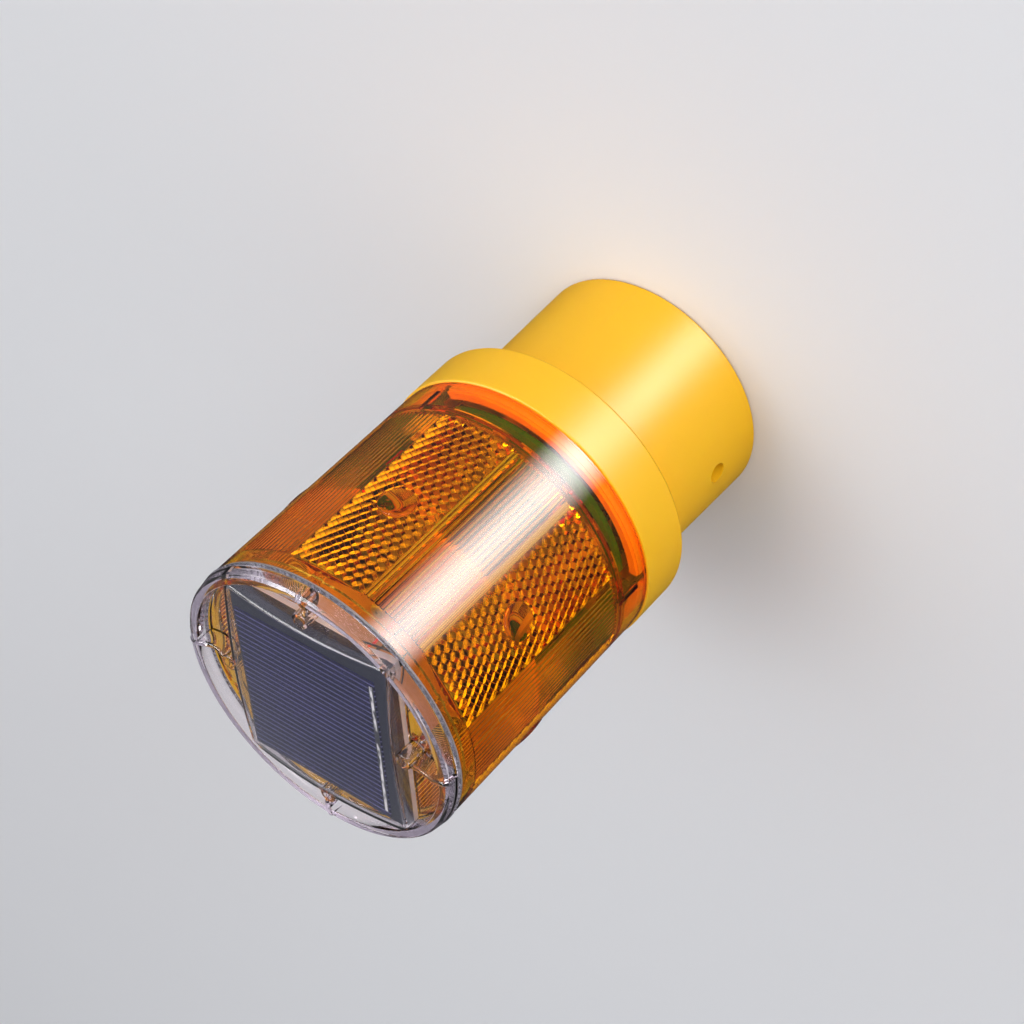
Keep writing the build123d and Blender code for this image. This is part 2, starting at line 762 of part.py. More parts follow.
def switch_slider():
    """Slider at its off stop: a carriage in the can and a grooved stem down to the finger well."""
    rest_x = -switch_travel / 2
    carriage_low = bracket_top + carriage_clearance
    carriage = block(carriage_length, carriage_width, carriage_low,
                     carriage_low + carriage_thickness, rest_x, switch_middle_y)
    stem = block(slider_length, slider_width, slider_tip_height, carriage_low, rest_x,
                 switch_middle_y)
    stem = fillet(stem.faces().sort_by(Axis.Z)[0].edges(), slider_rounding)
    for number in (-1, 0, 1):
        groove_x = rest_x + number * slider_groove_pitch
        stem -= Pos(groove_x, switch_middle_y, slider_tip_height) * Rot(quarter_turn, 0, 0) * Cylinder(
            slider_groove_depth, slider_width + overrun)
    return carriage + stem


def control_chip():
    """Eight-legged chip."""
    low = board_top + chip_gap
    chip = block(chip_length, chip_width, low, low + chip_height, chip_place_x, chip_place_y)
    chip = chamfer(chip.faces().sort_by(Axis.Z)[-1].edges(), chip_leg_width / 2)
    leg_reach = 2 * chip_leg_width
    for number in range(chip_leg_count):
        x = chip_place_x + (number - (chip_leg_count - 1) / 2) * chip_leg_pitch
        for side in (-1, 1):
            y = chip_place_y + side * (chip_width / 2 + chip_leg_width / 2)
            chip += block(chip_leg_width, chip_leg_width, board_top, low + chip_height / 2, x, y)
            chip += block(chip_leg_width, leg_reach, low + chip_height / 2 - chip_leg_width,
                          low + chip_height / 2, x, y - side * chip_leg_width / 2)
    return chip


def inductor():
    """Drum core: two rims and a wound waist."""
    outline = [(0, board_top), (inductor_radius, board_top),
               (inductor_radius, board_top + inductor_rim),
               (inductor_waist_radius, board_top + inductor_rim),
               (inductor_waist_radius, board_top + inductor_height - inductor_rim),
               (inductor_radius, board_top + inductor_height - inductor_rim),
               (inductor_radius, board_top + inductor_height), (0, board_top + inductor_height)]
    return Pos(inductor_place_x, inductor_place_y, 0) * turned(outline)


def capacitor():
    """Upright can with a crimp groove."""
    groove_low = board_top + capacitor_groove_height
    groove_high = groove_low + 2 * capacitor_groove_depth
    waist = capacitor_radius - capacitor_groove_depth
    top = board_top + capacitor_height
    outline = [(0, board_top), (capacitor_radius, board_top), (capacitor_radius, groove_low),
               (waist, groove_low), (waist, groove_high), (capacitor_radius, groove_high),
               (capacitor_radius, top), (0, top)]
    can = turned(outline, [((capacitor_radius, top), capacitor_rounding)])
    return Pos(capacitor_place_x, capacitor_place_y, 0) * can


def resistors():
    """A row of small resistors lying on the board, each on its two bent legs."""
    group = []
    for number in range(resistor_count):
        x = resistor_place_x + number * resistor_pitch
        z = board_top + resistor_radius
        body = Pos(x, resistor_place_y, z) * Rot(quarter_turn, 0, 0) * Cylinder(
            resistor_radius, resistor_length)
        half = resistor_leg_span / 2
        wire = Pos(x, resistor_place_y, z) * Rot(quarter_turn, 0, 0) * Cylinder(
            resistor_leg_radius, resistor_leg_span)
        group_part = body + wire
        for side in (-1, 1):
            leg_y = resistor_place_y + side * (half - resistor_leg_radius)
            group_part += column(resistor_leg_radius, board_top, z, x, leg_y)
        group.append(group_part)
    return Compound(children=group)


def lead_plug():
    """Open-topped housing of the lead connector, with its row of pins."""
    plug = block(plug_length, plug_width, board_top, board_top + plug_height,
                 plug_place_x, plug_place_y)
    plug -= block(plug_length - 2 * plug_wall, plug_width - 2 * plug_wall, board_top + plug_floor,
                  board_top + plug_height + overrun, plug_place_x, plug_place_y)
    for number in (-1, 0, 1):
        plug += column(terminal_radius, board_top + plug_floor / 2, board_top + plug_height - plug_wall,
                       plug_place_x + number * chip_leg_pitch, plug_place_y)
    return plug


def lead(name, points):
    """An insulated lead: straight runs joined by tangent arcs, as large as the runs allow."""
    vectors = [Vector(*point) for point in points]
    radii = []
    for before, corner, after in zip(vectors, vectors[1:], vectors[2:]):
        arriving = corner - before
        leaving = after - corner
        turn = math.radians(arriving.get_angle(leaving))
        shorter = min(arriving.length, leaving.length)
        radii.append(lead_bend_share * shorter / math.tan(turn / 2))
    path = FilletPolyline(*points, radius=radii)
    section = Plane(origin=path @ 0, z_dir=path % 0) * Circle(lead_radius)
    tube = sweep(section, path=path)
    expected = math.pi * lead_radius ** 2 * path.length
    print(name, "radii", [round(radius, 1) for radius in radii],
          "length", round(path.length, 1), "volume share", round(tube.volume / expected, 4))
    return tube


# Leads from the battery's tabs, straight out and then up to the board
tab_face = tray_inner_length / 2
tab_lead_height = floor_top + contact_tab_height - battery_lead_drop
tab_lead_reach = tab_face + battery_lead_reach
lead_routes = {}
for lead_name, side in (("battery_lead_red", 1), ("battery_lead_black", -1)):
    lead_routes[lead_name] = [(side * tab_face, battery_middle_y, tab_lead_height),
                              (side * tab_lead_reach, battery_middle_y, tab_lead_height),
                              (side * tab_lead_reach, battery_middle_y, board_height)]

# Leads that run down from one height to another: each point is a place in plan and
# the share of the drop that is behind it
terminal_top = switch_top + terminal_length
drop_shares = {
    "switch_lead_one": (board_height, terminal_top,
                        [(-1.7, 19.6, 0), (-1.7, 19.6, 0.35), (0, 18.0, 0.65), (0, 18.0, 1)]),
    "switch_lead_two": (board_height, terminal_top,
                        [(5.7, 19.6, 0), (5.7, 19.6, 0.35), (4.0, 18.0, 0.65), (4.0, 18.0, 1)]),
    "solar_lead_red": (panel_under, board_top,
                       [(2.6, 0, 0), (2.6, 0, 0.154), (3.6, 2.2, 0.336), (2.0, -1.0, 0.517),
                        (3.2, -3.6, 0.685), (8.0, -2.4, 0.824), (9.6, 1.0, 0.908), (9.6, 1.0, 1)]),
    "solar_lead_black": (panel_under, board_top,
                         [(-2.6, 0, 0), (-2.6, 0, 0.168), (-1.4, -2.4, 0.35), (-2.4, 0.8, 0.517),
                          (-1.0, 3.0, 0.671), (2.6, 6.4, 0.81), (4.4, 8.8, 0.901), (4.4, 8.8, 1)]),
    "lamp_lead_red": (light_board_under, board_top,
                      [(-8.0, -2.0, 0), (-8.0, -2.0, 0.281), (-10.6, 0.6, 0.573), (-8.0, 2.8, 0.822),
                       (-8.0, 2.8, 1)]),
    "lamp_lead_black": (light_board_under, board_top,
                        [(-8.0, -6.0, 0), (-8.0, -6.0, 0.251), (-6.0, -9.2, 0.543), (-8.6, -9.4, 0.807),
                         (-8.6, -9.4, 1)]),
}
for lead_name, (start_height, end_height, stops) in drop_shares.items():
    drop = start_height - end_height
    lead_routes[lead_name] = [(x, y, start_height - drop * share) for x, y, share in stops]

nodes = {
    "base_housing": base_housing(),
    "amber_lens": amber_lens(),
    "solar_cover": solar_cover(),
    "lens_seal": lens_seal(),
    "cover_seal": cover_seal(),
    "solar_laminate": solar_laminate(),
    "solar_cell": solar_cell(),
    "cell_ribbon": cell_ribbon(),
    "panel_sealant": panel_sealant(),
    "control_board": control_board(),
    "light_board": light_board(),
    "board_standoffs": standoffs(),
    "lens_screws": screws(post_places, socket_depth + floor_thickness / 2, lens_screw_length, False),
    "board_screws": screws(board_boss_places, board_top, board_screw_length, True),
    "standoff_screws_low": screws(standoff_places, board_height, board_screw_length, False),
    "standoff_screws_high": screws(standoff_places, light_board_top, board_screw_length, True),
    "switch_body": switch_body(),
    "switch_slider": switch_slider(),
    "switch_screws": bracket_screws(),
    "battery_cell": battery_cell(),
    "battery_tray": battery_tray(),
    "battery_contact_plus": contact_plate(1),
    "battery_contact_minus": contact_plate(-1),
    "battery_spring": battery_spring(),
    "control_chip": control_chip(),
    "inductor": inductor(),
    "capacitor": capacitor(),
    "resistors": resistors(),
    "lead_plug": lead_plug(),
}
for lamp_number, lamp_angle in enumerate(ring_angles(panel_count, panel_first_angle), start=1):
    nodes[f"lamp_{lamp_number}"] = lamp(lamp_angle)
for lead_name, lead_points in lead_routes.items():
    nodes[lead_name] = lead(lead_name, lead_points)

os.makedirs("parts", exist_ok=True)
for node_name, node_solid in nodes.items():
    export_step(node_solid, f"parts/{node_name}.step")
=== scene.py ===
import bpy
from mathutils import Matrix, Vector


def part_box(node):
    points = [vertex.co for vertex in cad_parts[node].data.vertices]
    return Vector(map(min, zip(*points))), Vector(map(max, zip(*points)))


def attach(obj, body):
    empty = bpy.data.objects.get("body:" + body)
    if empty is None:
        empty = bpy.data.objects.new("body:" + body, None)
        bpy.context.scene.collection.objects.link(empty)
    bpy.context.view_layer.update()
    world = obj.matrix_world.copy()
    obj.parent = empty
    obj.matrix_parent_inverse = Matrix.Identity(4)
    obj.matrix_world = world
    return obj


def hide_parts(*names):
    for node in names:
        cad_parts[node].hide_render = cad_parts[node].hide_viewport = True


bl_info = {
    "name": "Barricade Warning Light",
    "version": (1, 0, 0),
    "blender": (4, 5, 0),
    "location": "View3D > Sidebar > Warning Light",
    "description": "Builds the visible pieces of a solar warning light round its fixed frame",
    "category": "Add Mesh",
}

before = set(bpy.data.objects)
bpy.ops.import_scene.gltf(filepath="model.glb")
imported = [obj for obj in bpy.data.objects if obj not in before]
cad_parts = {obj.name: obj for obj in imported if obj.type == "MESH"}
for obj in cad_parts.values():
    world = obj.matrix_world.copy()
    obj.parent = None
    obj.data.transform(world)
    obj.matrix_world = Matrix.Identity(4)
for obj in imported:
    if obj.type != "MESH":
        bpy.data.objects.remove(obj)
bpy.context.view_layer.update()        # the meshes of the imported lamp, now in world space

import math

import bmesh
import bpy
from mathutils import Matrix, Vector
from mathutils.geometry import delaunay_2d_cdt

LAMP_BODY = "lamp"

# Sizes below are in millimetres, and meshes are written in metres
MM = 0.001
TINY = 0.0001
FULL_TURN = 2 * math.pi


def node_box(node):
    """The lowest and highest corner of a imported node, in millimetres."""
    low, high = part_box(node)
    return low / MM, high / MM


# Heights and radii of the lamp, from the frame
LENS_LOW, LENS_HIGH = node_box("amber_lens")
LENS_TOP = LENS_HIGH.z
HEAD_RADIUS = LENS_HIGH.x
POST_FOOT = LENS_LOW.z
SPIGOT_TOP = node_box("base_housing")[1].z
CROWN_HEIGHT = node_box("solar_cover")[1].z
COVER_FOOT = node_box("cover_seal")[1].z
LAMP_TIP_RISE = 2.9
BULGE_HEIGHT = node_box("lamp_1")[1].z - LAMP_TIP_RISE
RIBBON_LOW, RIBBON_HIGH = node_box("cell_ribbon")

# The lens in section
SPIGOT_HEIGHT = 3.4
FLANGE_HEIGHT = 12.0
FLANGE_CHAMFER = 0.3
LENS_WALL = 2.0
LENS_FLARE = 0.2
LEDGE_WIDTH = 2.9
LEDGE_CHAMFER = 0.4
BAND_HEIGHT = 3.8
FLANGE_LOW = SPIGOT_TOP - SPIGOT_HEIGHT
FLANGE_TOP = FLANGE_LOW + FLANGE_HEIGHT
FLANGE_RADIUS = HEAD_RADIUS - LENS_FLARE
LEDGE_RADIUS = FLANGE_RADIUS - LENS_WALL - LEDGE_WIDTH
BODY_TOP = LENS_TOP - BAND_HEIGHT
POST_RADIUS = 2.5
POST_INSET = 3.2
POST_CIRCLE = FLANGE_RADIUS - LENS_WALL - POST_INSET
POST_BORE = 1.45
POST_BORE_DEPTH = 8.8
POST_ANGLES = (60, 180, 300)
POST_STEPS = 48
WEB_WIDTH = 1.8

# Six reflector fields inside the wall, with flutes between them
FIELD_COUNT = 6
FIELD_FIRST_ANGLE = 30
FIELD_HALF_ANGLE = 15.6
FIELD_LOW = 73.8
FIELD_HIGH = 134.5
PRISM_WALL = 1.2
PRISM_SIGN = -1
STEP_WIDTH = 0.06
FLUTE_WALL = 1.5
FLUTE_LOW = 74.2
FLUTE_END = 0.4
FLUTE_FACES = 6
FLUTES_PER_HALF = 5.5
RIDGE_WIDTH = 1.1
RIDGE_HEIGHT = 0.55
WINDOW_RADIUS = 5.0
WINDOW_WALL = 1.5
WINDOW_BELLY = 0.9
WINDOW_RINGS = (0.15, 0.3, 0.45, 0.6, 0.75, 0.9)
BULGE_STEP = 0.1
ROUNDED_DEPTH = 0.4
WALL_PLAY = 0.01
LEVEL_FACE = 0.9
LENS_SMOOTHING = 30
COVER_SMOOTHING = 32
BULGE_RINGS = (0.2, 0.4, 0.6, 0.8, 0.92, 1)
UNROLL_RADIUS = (FLANGE_RADIUS + HEAD_RADIUS) / 2
FIELD_HALF = math.radians(FIELD_HALF_ANGLE) * UNROLL_RADIUS
SECTOR_HALF = FULL_TURN / FIELD_COUNT / 2 * UNROLL_RADIUS
DEGREE = math.radians(1) * UNROLL_RADIUS
HALF_SECTOR_DEGREES = 180 // FIELD_COUNT

# The clear cover in section
POCKET_TOP = COVER_FOOT - 0.6
POCKET_UNDER = POCKET_TOP - 1.2
COVER_SPIGOT_LOW = COVER_FOOT - 3.8
COVER_SPIGOT_RADIUS = HEAD_RADIUS - LENS_WALL - 0.6
COVER_SPIGOT_BORE = COVER_SPIGOT_RADIUS - 1.8
RIM_RADIUS = HEAD_RADIUS + 0.25
RIM_BEVEL = 0.7
RIM_DRAFT = 0.05
RIM_CHAMFER = 0.3
RIM_ROUNDING = 0.35
RIM_EDGE_RADIUS = RIM_RADIUS - RIM_BEVEL
RIM_EDGE_HEIGHT = COVER_FOOT + 4.3
RING_TOP = COVER_FOOT + 4.9
RING_OUTER = RIM_EDGE_RADIUS - 0.7
RING_INNER = RING_OUTER - 2.1
BOX_HALF_X = 26.51
BOX_HALF_Y = 31.33
BOX_CORNER = 1.2
BOX_WALL = 1.4
BOX_ROUNDING = 1.1
HOLLOW_CORNER = 0.5
HOLLOW_ROUNDING = 0.1
DOME_RADIUS_ACROSS = 167.0
DOME_RADIUS_ALONG = 273.0
DOME_WALL = 1.3
DOME_RINGS = 14
BOSS_RADIUS = 2.4
BOSS_BORE = 1.25
BOSS_DRAFT = 0.15
BOSS_ROUNDING = 0.4
BOSS_TOP = COVER_FOOT + 5.3
BOSS_OVERLAP = 0.3
BOSS_FOOT = 0.1
BOSS_STEPS = 40
BORE_STEPS = 32
CUT_REACH = 1.0
CORNER_STEPS = 6
SIDE_STEPS = 12
ROUNDING_STEPS = 4

# A rib bows aside, sags between boss and ring, and hooks down and narrows past the rim
RIB_STATIONS = 22
RIB_REACH = RIM_EDGE_RADIUS + 0.25
RIB_BOW = 1.6
RIB_BOW_STRETCH = 1.05
RIB_BOW_POWER = 1.5
RIB_FOOT = 0.2
RIB_STEP_RADIUS = RING_INNER + 0.4
RIB_SINK = 0.9
RIB_CREST = RING_TOP + 0.5
RIB_SAG = 0.9
RIB_SAG_END = 0.75
RIB_HOOK_START = 0.86
RIB_HOOK_SPAN = 0.14
RIB_HOOK_DROP = 0.96
RIB_TAPER_START = 0.9
RIB_TAPER_SPAN = 0.1
RIB_TAPER = 0.25
RIB_SLANT = 0.6

# The camera, fitted to the photograph: its place and the directions of the picture's right and down
CAMERA_PLACE = (-303.95, -475.63, 426.21)
CAMERA_RIGHT = (-0.7967, 0.0497, -0.6023)
CAMERA_DOWN = (-0.3989, 0.7055, 0.5858)
FOCAL_PIXELS = 2500
FRAME_PIXELS = 1024
SENSOR_WIDTH = 36.0

# The floor, in metres: half its width and its gap under the socket's mouth
FLOOR_HALF = 3.0
FLOOR_GAP = 0.0002

# Softboxes: name, direction, distance and size in metres, soft edges, and rays that miss it
SOFTBOXES = (
    ("gleam_softbox", (-0.485, -0.698, -0.528), 1.25, (1.0, 0.62), (0.5, 0.3),
     ("diffuse", "transmission")),
    ("fill_softbox", CAMERA_PLACE, 1.7, (1.8, 1.8), (0.3, 0.3), ("diffuse", "glossy")),
    ("edge_softbox", (0.48, -0.42, 0.77), 1.4, (0.9, 1.5), (0.3, 0.3),
     ("diffuse", "transmission")),
    ("key_softbox", (-0.6, -0.75, 0.18), 1.3, (0.7, 0.5), (0.3, 0.3), ()),
    ("top_light", (0.1, -0.25, 1), 1.5, (0.7, 0.7), (0.3, 0.3), ()),
)


# Mesh making

def make_piece(name, mesh_builder, material, body=LAMP_BODY):
    """Turn a bmesh in millimetres into a piece that rides on a body."""
    bmesh.ops.scale(mesh_builder, vec=(MM, MM, MM), verts=mesh_builder.verts)
    mesh = bpy.data.meshes.new(name)
    mesh_builder.to_mesh(mesh)
    mesh_builder.free()
    piece = bpy.data.objects.new(name, mesh)
    bpy.context.scene.collection.objects.link(piece)
    mesh.materials.append(material)
    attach(piece, body)
    return piece


def close_seams(builder):
    """Weld the edges of the patches and turn every face outward."""
    bmesh.ops.remove_doubles(builder, verts=builder.verts, dist=TINY)
    bmesh.ops.dissolve_degenerate(builder, edges=builder.edges, dist=TINY / 10)
    bmesh.ops.recalc_face_normals(builder, faces=builder.faces)


def smooth_by_angle(mesh, degrees):
    """Shade a mesh smooth, except across edges sharper than an angle."""
    mesh.polygons.foreach_set("use_smooth", [True] * len(mesh.polygons))
    mesh.set_sharp_from_angle(angle=math.radians(degrees))


def lathe(builder, profile, steps=360, place=(0, 0)):
    """Spin a line of radius and height pairs about an upright axis."""
    rings = []
    for radius, height in profile:
        if radius < TINY:
            rings.append([builder.verts.new((place[0], place[1], height))] * steps)
            continue
        ring = []
        for number in range(steps):
            angle = FULL_TURN * number / steps
            ring.append(builder.verts.new((place[0] + radius * math.cos(angle),
                                           place[1] + radius * math.sin(angle), height)))
        rings.append(ring)
    for first, second in zip(rings, rings[1:]):
        for number in range(steps):
            after = (number + 1) % steps
            corners = dict.fromkeys((first[number], first[after], second[after], second[number]))
            if len(corners) > 2:
                builder.faces.new(list(corners))


def arc(centre, radius, start, end, steps):
    """Points on an arc of a plane, its angles in degrees."""
    points = []
    for number in range(steps + 1):
        angle = math.radians(start + (end - start) * number / steps)
        points.append((centre[0] + radius * math.cos(angle), centre[1] + radius * math.sin(angle)))
    return points


def loft(builder, rings, tip=None):
    """Join rings of as many points each and close both ends; a tip closes the last in a fan."""
    made = [[builder.verts.new(point) for point in ring] for ring in rings]
    count = len(made[0])
    for first, second in zip(made, made[1:]):
        for number in range(count):
            after = (number + 1) % count
            builder.faces.new((first[number], first[after], second[after], second[number]))
    builder.faces.new(made[0])
    if tip is None:
        builder.faces.new(made[-1])
        return
    point = builder.verts.new(tip)
    for number in range(count):
        builder.faces.new((made[-1][number], made[-1][(number + 1) % count], point))


def tool_object(name, fill, *details):
    """A mesh object in millimetres that is used only as a tool in a boolean."""
    builder = bmesh.new()
    fill(builder, *details)
    close_seams(builder)
    mesh = bpy.data.meshes.new(name)
    builder.to_mesh(mesh)
    builder.free()
    made = bpy.data.objects.new(name, mesh)
    bpy.context.scene.collection.objects.link(made)
    made.scale = (MM, MM, MM)
    return made


def turned_place(angle, distance):
    """A place in plan at an angle in degrees and a distance from the axis."""
    return distance * math.cos(math.radians(angle)), distance * math.sin(math.radians(angle))


def combine(target, tools, operation):
    """Apply a boolean of a target with several tools, and delete the tools."""
    group = bpy.data.collections.new("tools")
    bpy.context.scene.collection.children.link(group)
    for tool in tools:
        group.objects.link(tool)
    modifier = target.modifiers.new("combine", "BOOLEAN")
    modifier.operation = operation
    modifier.operand_type = "COLLECTION"
    modifier.collection = group
    modifier.solver = "EXACT"
    bpy.context.view_layer.update()
    graph = bpy.context.evaluated_depsgraph_get()
    result = bpy.data.meshes.new_from_object(target.evaluated_get(graph))
    target.modifiers.clear()
    target.data = result
    for tool in tools:
        bpy.data.objects.remove(tool)
    bpy.data.collections.remove(group)
    return target


# The lens wall, unrolled: u runs round the wall from the middle of a sector and z up

def wall_radius(z):
    """Outer radius of the lens body at a height."""
    share = min(max((z - FLANGE_TOP) / (BODY_TOP - FLANGE_TOP), 0), 1)
    return FLANGE_RADIUS + (HEAD_RADIUS - FLANGE_RADIUS) * share


def roll_up(u, z, radius, middle_angle):
    """A point of the unrolled wall, back on the lens."""
    angle = math.radians(middle_angle) + u / UNROLL_RADIUS
    return Vector((radius * math.cos(angle), radius * math.sin(angle), z))


def prism_edge(settings):
    """Length of an edge of the prisms' lattice."""
    return settings.prism_pitch / MM / math.sqrt(3)


def prism_height(u, z, edge):
    """Height of a cube-corner surface: a triangular lattice whose corners lie at three levels."""
    row = u / (edge * math.sqrt(3) / 2)
    column = PRISM_SIGN * (z - BULGE_HEIGHT) / edge - row / 2
    row_floor, column_floor = math.floor(row + TINY), math.floor(column + TINY)
    up, along = row - row_floor, column - column_floor
    if up + along <= 1:
        corners = ((column_floor, row_floor, 1 - up - along), (column_floor + 1, row_floor, along),
                   (column_floor, row_floor + 1, up))
    else:
        corners = ((column_floor + 1, row_floor + 1, up + along - 1),
                   (column_floor, row_floor + 1, 1 - along), (column_floor + 1, row_floor, 1 - up))
    level = edge / math.sqrt(2)
    return sum(((i - j) % 3) * weight for i, j, weight in corners) * level


def prism_corner(column, row, edge):
    """The place of a corner of the prisms' lattice, whose columns run up the lens."""
    return row * edge * math.sqrt(3) / 2, BULGE_HEIGHT + PRISM_SIGN * (column + row / 2) * edge


def flute_height(u, z, depth):
    """Height of the flutes and of the two ridges beside each field."""
    beside = abs(u) - FIELD_HALF - STEP_WIDTH
    ends = min(z - FLUTE_LOW, FIELD_HIGH - z) / FLUTE_END
    ends = min(max(ends, 0), 1)
    if beside <= 2 * RIDGE_WIDTH:
        share = beside / RIDGE_WIDTH % 1
        return ends * RIDGE_HEIGHT * (1 - abs(2 * share - 1))
    share = (beside - 2 * RIDGE_WIDTH) / flute_width() % 1
    return ends * depth * (1 - (2 * share - 1) ** 2)


def flute_width():
    """Width of a flute: the half field beside the ridges holds five and a half."""
    return (SECTOR_HALF - FIELD_HALF - STEP_WIDTH - 2 * RIDGE_WIDTH) / FLUTES_PER_HALF


def inner_thickness(u, z, settings):
    """Thickness of the wall at a point: window, prisms, or flutes and plain wall."""
    reach = math.hypot(u, z - BULGE_HEIGHT)
    if reach <= WINDOW_RADIUS + TINY:
        return WINDOW_WALL + WINDOW_BELLY * (1 - (reach / WINDOW_RADIUS) ** 2)
    if abs(u) <= FIELD_HALF + TINY and FIELD_LOW - TINY <= z <= FIELD_HIGH + TINY:
        return PRISM_WALL + prism_height(u, z, prism_edge(settings))
    if abs(u) < FIELD_HALF + STEP_WIDTH - TINY:
        return FLUTE_WALL
    return FLUTE_WALL + flute_height(u, z, settings.flute_depth / MM)


def cut_to_field(start, end):
    """The part of a line that lies in the rectangle of a reflector field, or None."""
    first, last = 0.0, 1.0
    step = (end[0] - start[0], end[1] - start[1])
    limits = ((-FIELD_HALF, FIELD_HALF), (FIELD_LOW, FIELD_HIGH))
    for axis in (0, 1):
        if abs(step[axis]) < TINY:
            if not limits[axis][0] <= start[axis] <= limits[axis][1]:
                return None
            continue
        enter, leave = sorted((limit - start[axis]) / step[axis] for limit in limits[axis])
        first, last = max(first, enter), min(last, leave)
    if last - first < TINY:
        return None
    return tuple((start[0] + step[0] * share, start[1] + step[1] * share)
                 for share in (first, last))


def polyline(points, closed=False):
    """The lines between points."""
    lines = list(zip(points, points[1:]))
    if closed:
        lines.append((points[-1], points[0]))
    return lines


def circle_lines(radius, steps=60):
    """A circle round the middle of a window."""
    points = []
    for number in range(steps):
        angle = FULL_TURN * number / steps
        points.append((radius * math.sin(angle), BULGE_HEIGHT + radius * math.cos(angle)))
    return polyline(points, closed=True)


def sector_frame():
    """The sector's border and the line where the body ends, with a point at each degree."""
    columns = [DEGREE * number for number in range(-HALF_SECTOR_DEGREES, HALF_SECTOR_DEGREES + 1)]
    columns[0], columns[-1] = -SECTOR_HALF, SECTOR_HALF
    lines = []
    for height in (FLANGE_TOP, BODY_TOP, LENS_TOP):
        lines += polyline([(u, height) for u in columns])
    for side in (-SECTOR_HALF, SECTOR_HALF):
        lines += polyline([(side, FLANGE_TOP), (side, BODY_TOP), (side, LENS_TOP)])
    return lines


def triangulate(lines):
    """Triangles whose edges include all of the lines."""
    points, edges = [], []
    for start, end in lines:
        edges.append((len(points), len(points) + 1))
        points += [Vector(start), Vector(end)]
    made = delaunay_2d_cdt(points, edges, [], 0, TINY / 10)
    return made[0], made[2]


def inner_lines(settings):
    """All the creases of the inner surface in one sector."""
    lines = sector_frame()
    edge = prism_edge(settings)
    rows = math.ceil(FIELD_HALF / (edge * math.sqrt(3) / 2)) + 1
    columns = math.ceil((FIELD_HIGH - FIELD_LOW) / edge) + rows
    for row in range(-rows, rows):
        for column in range(-columns, columns):
            corner = prism_corner(column, row, edge)
            for far in (prism_corner(column + 1, row, edge), prism_corner(column, row + 1, edge),
                        prism_corner(column - 1, row + 1, edge)):
                line = cut_to_field(corner, far)
                reach = min(math.hypot(u, z - BULGE_HEIGHT) for u, z in (corner, far))
                if line and reach > WINDOW_RADIUS - edge:
                    lines.append(line)
    for margin in (0, STEP_WIDTH):
        half, low, high = FIELD_HALF + margin, FIELD_LOW - margin, FIELD_HIGH + margin
        lines += polyline([(-half, low), (half, low), (half, high), (-half, high)], closed=True)
        lines += circle_lines(WINDOW_RADIUS + margin)
    for share in WINDOW_RINGS:
        lines += circle_lines(WINDOW_RADIUS * share)
    start = FIELD_HALF + STEP_WIDTH
    for side in (-1, 1):
        places = [start + RIDGE_WIDTH / 2 * number for number in range(1, 4)]
        flutes = round(FLUTES_PER_HALF * FLUTE_FACES)
        places += [start + 2 * RIDGE_WIDTH + flute_width() * number / FLUTE_FACES
                   for number in range(flutes)]
        lines += [((side * u, FLUTE_LOW), (side * u, FIELD_HIGH)) for u in places]
        for height in (FLUTE_LOW, FLUTE_LOW + FLUTE_END, FIELD_HIGH - FLUTE_END, FIELD_HIGH):
            lines.append(((side * start, height), (side * SECTOR_HALF, height)))
    return lines


def outer_rise(u, z, settings):
    """How far a magnifier bulge stands proud of the wall."""
    reach = math.hypot(u, z - BULGE_HEIGHT)
    if reach > WINDOW_RADIUS + TINY:
        return 0
    dome = settings.bulge_rise / MM - BULGE_STEP
    return BULGE_STEP + dome * (1 - (reach / WINDOW_RADIUS) ** 2)


def outer_lines():
    """Border, upright lines and bulge rings of the outer surface in one sector."""
    lines = sector_frame()
    for number in range(1 - HALF_SECTOR_DEGREES, HALF_SECTOR_DEGREES):
        lines.append(((DEGREE * number, FLANGE_TOP), (DEGREE * number, LENS_TOP)))
    for share in BULGE_RINGS:
        lines += circle_lines(WINDOW_RADIUS * share)
    return lines + circle_lines(WINDOW_RADIUS + STEP_WIDTH)


def flange_profile():
    """From the foot of the body's outside, down the flange and over the ledge to its inside."""
    bore = FLANGE_RADIUS - LENS_WALL
    under = FLANGE_TOP - LENS_WALL
    return [(FLANGE_RADIUS, FLANGE_TOP), (FLANGE_RADIUS, FLANGE_LOW + FLANGE_CHAMFER),
            (FLANGE_RADIUS - FLANGE_CHAMFER, FLANGE_LOW), (bore, FLANGE_LOW),
            (bore, under - LEDGE_CHAMFER), (bore - LEDGE_CHAMFER, under), (LEDGE_RADIUS, under),
            (LEDGE_RADIUS, FLANGE_TOP), (FLANGE_RADIUS - FLUTE_WALL, FLANGE_TOP)]


def lens_post(builder, angle):
    """A hollow screw post inside the flange."""
    top = FLANGE_TOP - LENS_WALL / 2
    bore_top = POST_FOOT + POST_BORE_DEPTH
    lathe(builder, [(0, bore_top), (POST_BORE, bore_top), (POST_BORE, POST_FOOT),
                    (POST_RADIUS, POST_FOOT), (POST_RADIUS, top), (0, top)],
          POST_STEPS, turned_place(angle, POST_CIRCLE))


def post_web(builder, angle):
    """The web between a screw post and the flange."""
    near, far = POST_CIRCLE + POST_BORE, FLANGE_RADIUS - LENS_WALL / 2
    turn = Matrix.Rotation(math.radians(angle), 4, "Z")
    corners = [(near, -1), (far, -1), (far, 1), (near, 1)]
    loft(builder, [[turn @ Vector((x, side * WEB_WIDTH / 2, height)) for x, side in corners]
                   for height in (SPIGOT_TOP, FLANGE_TOP - LENS_WALL / 2)])


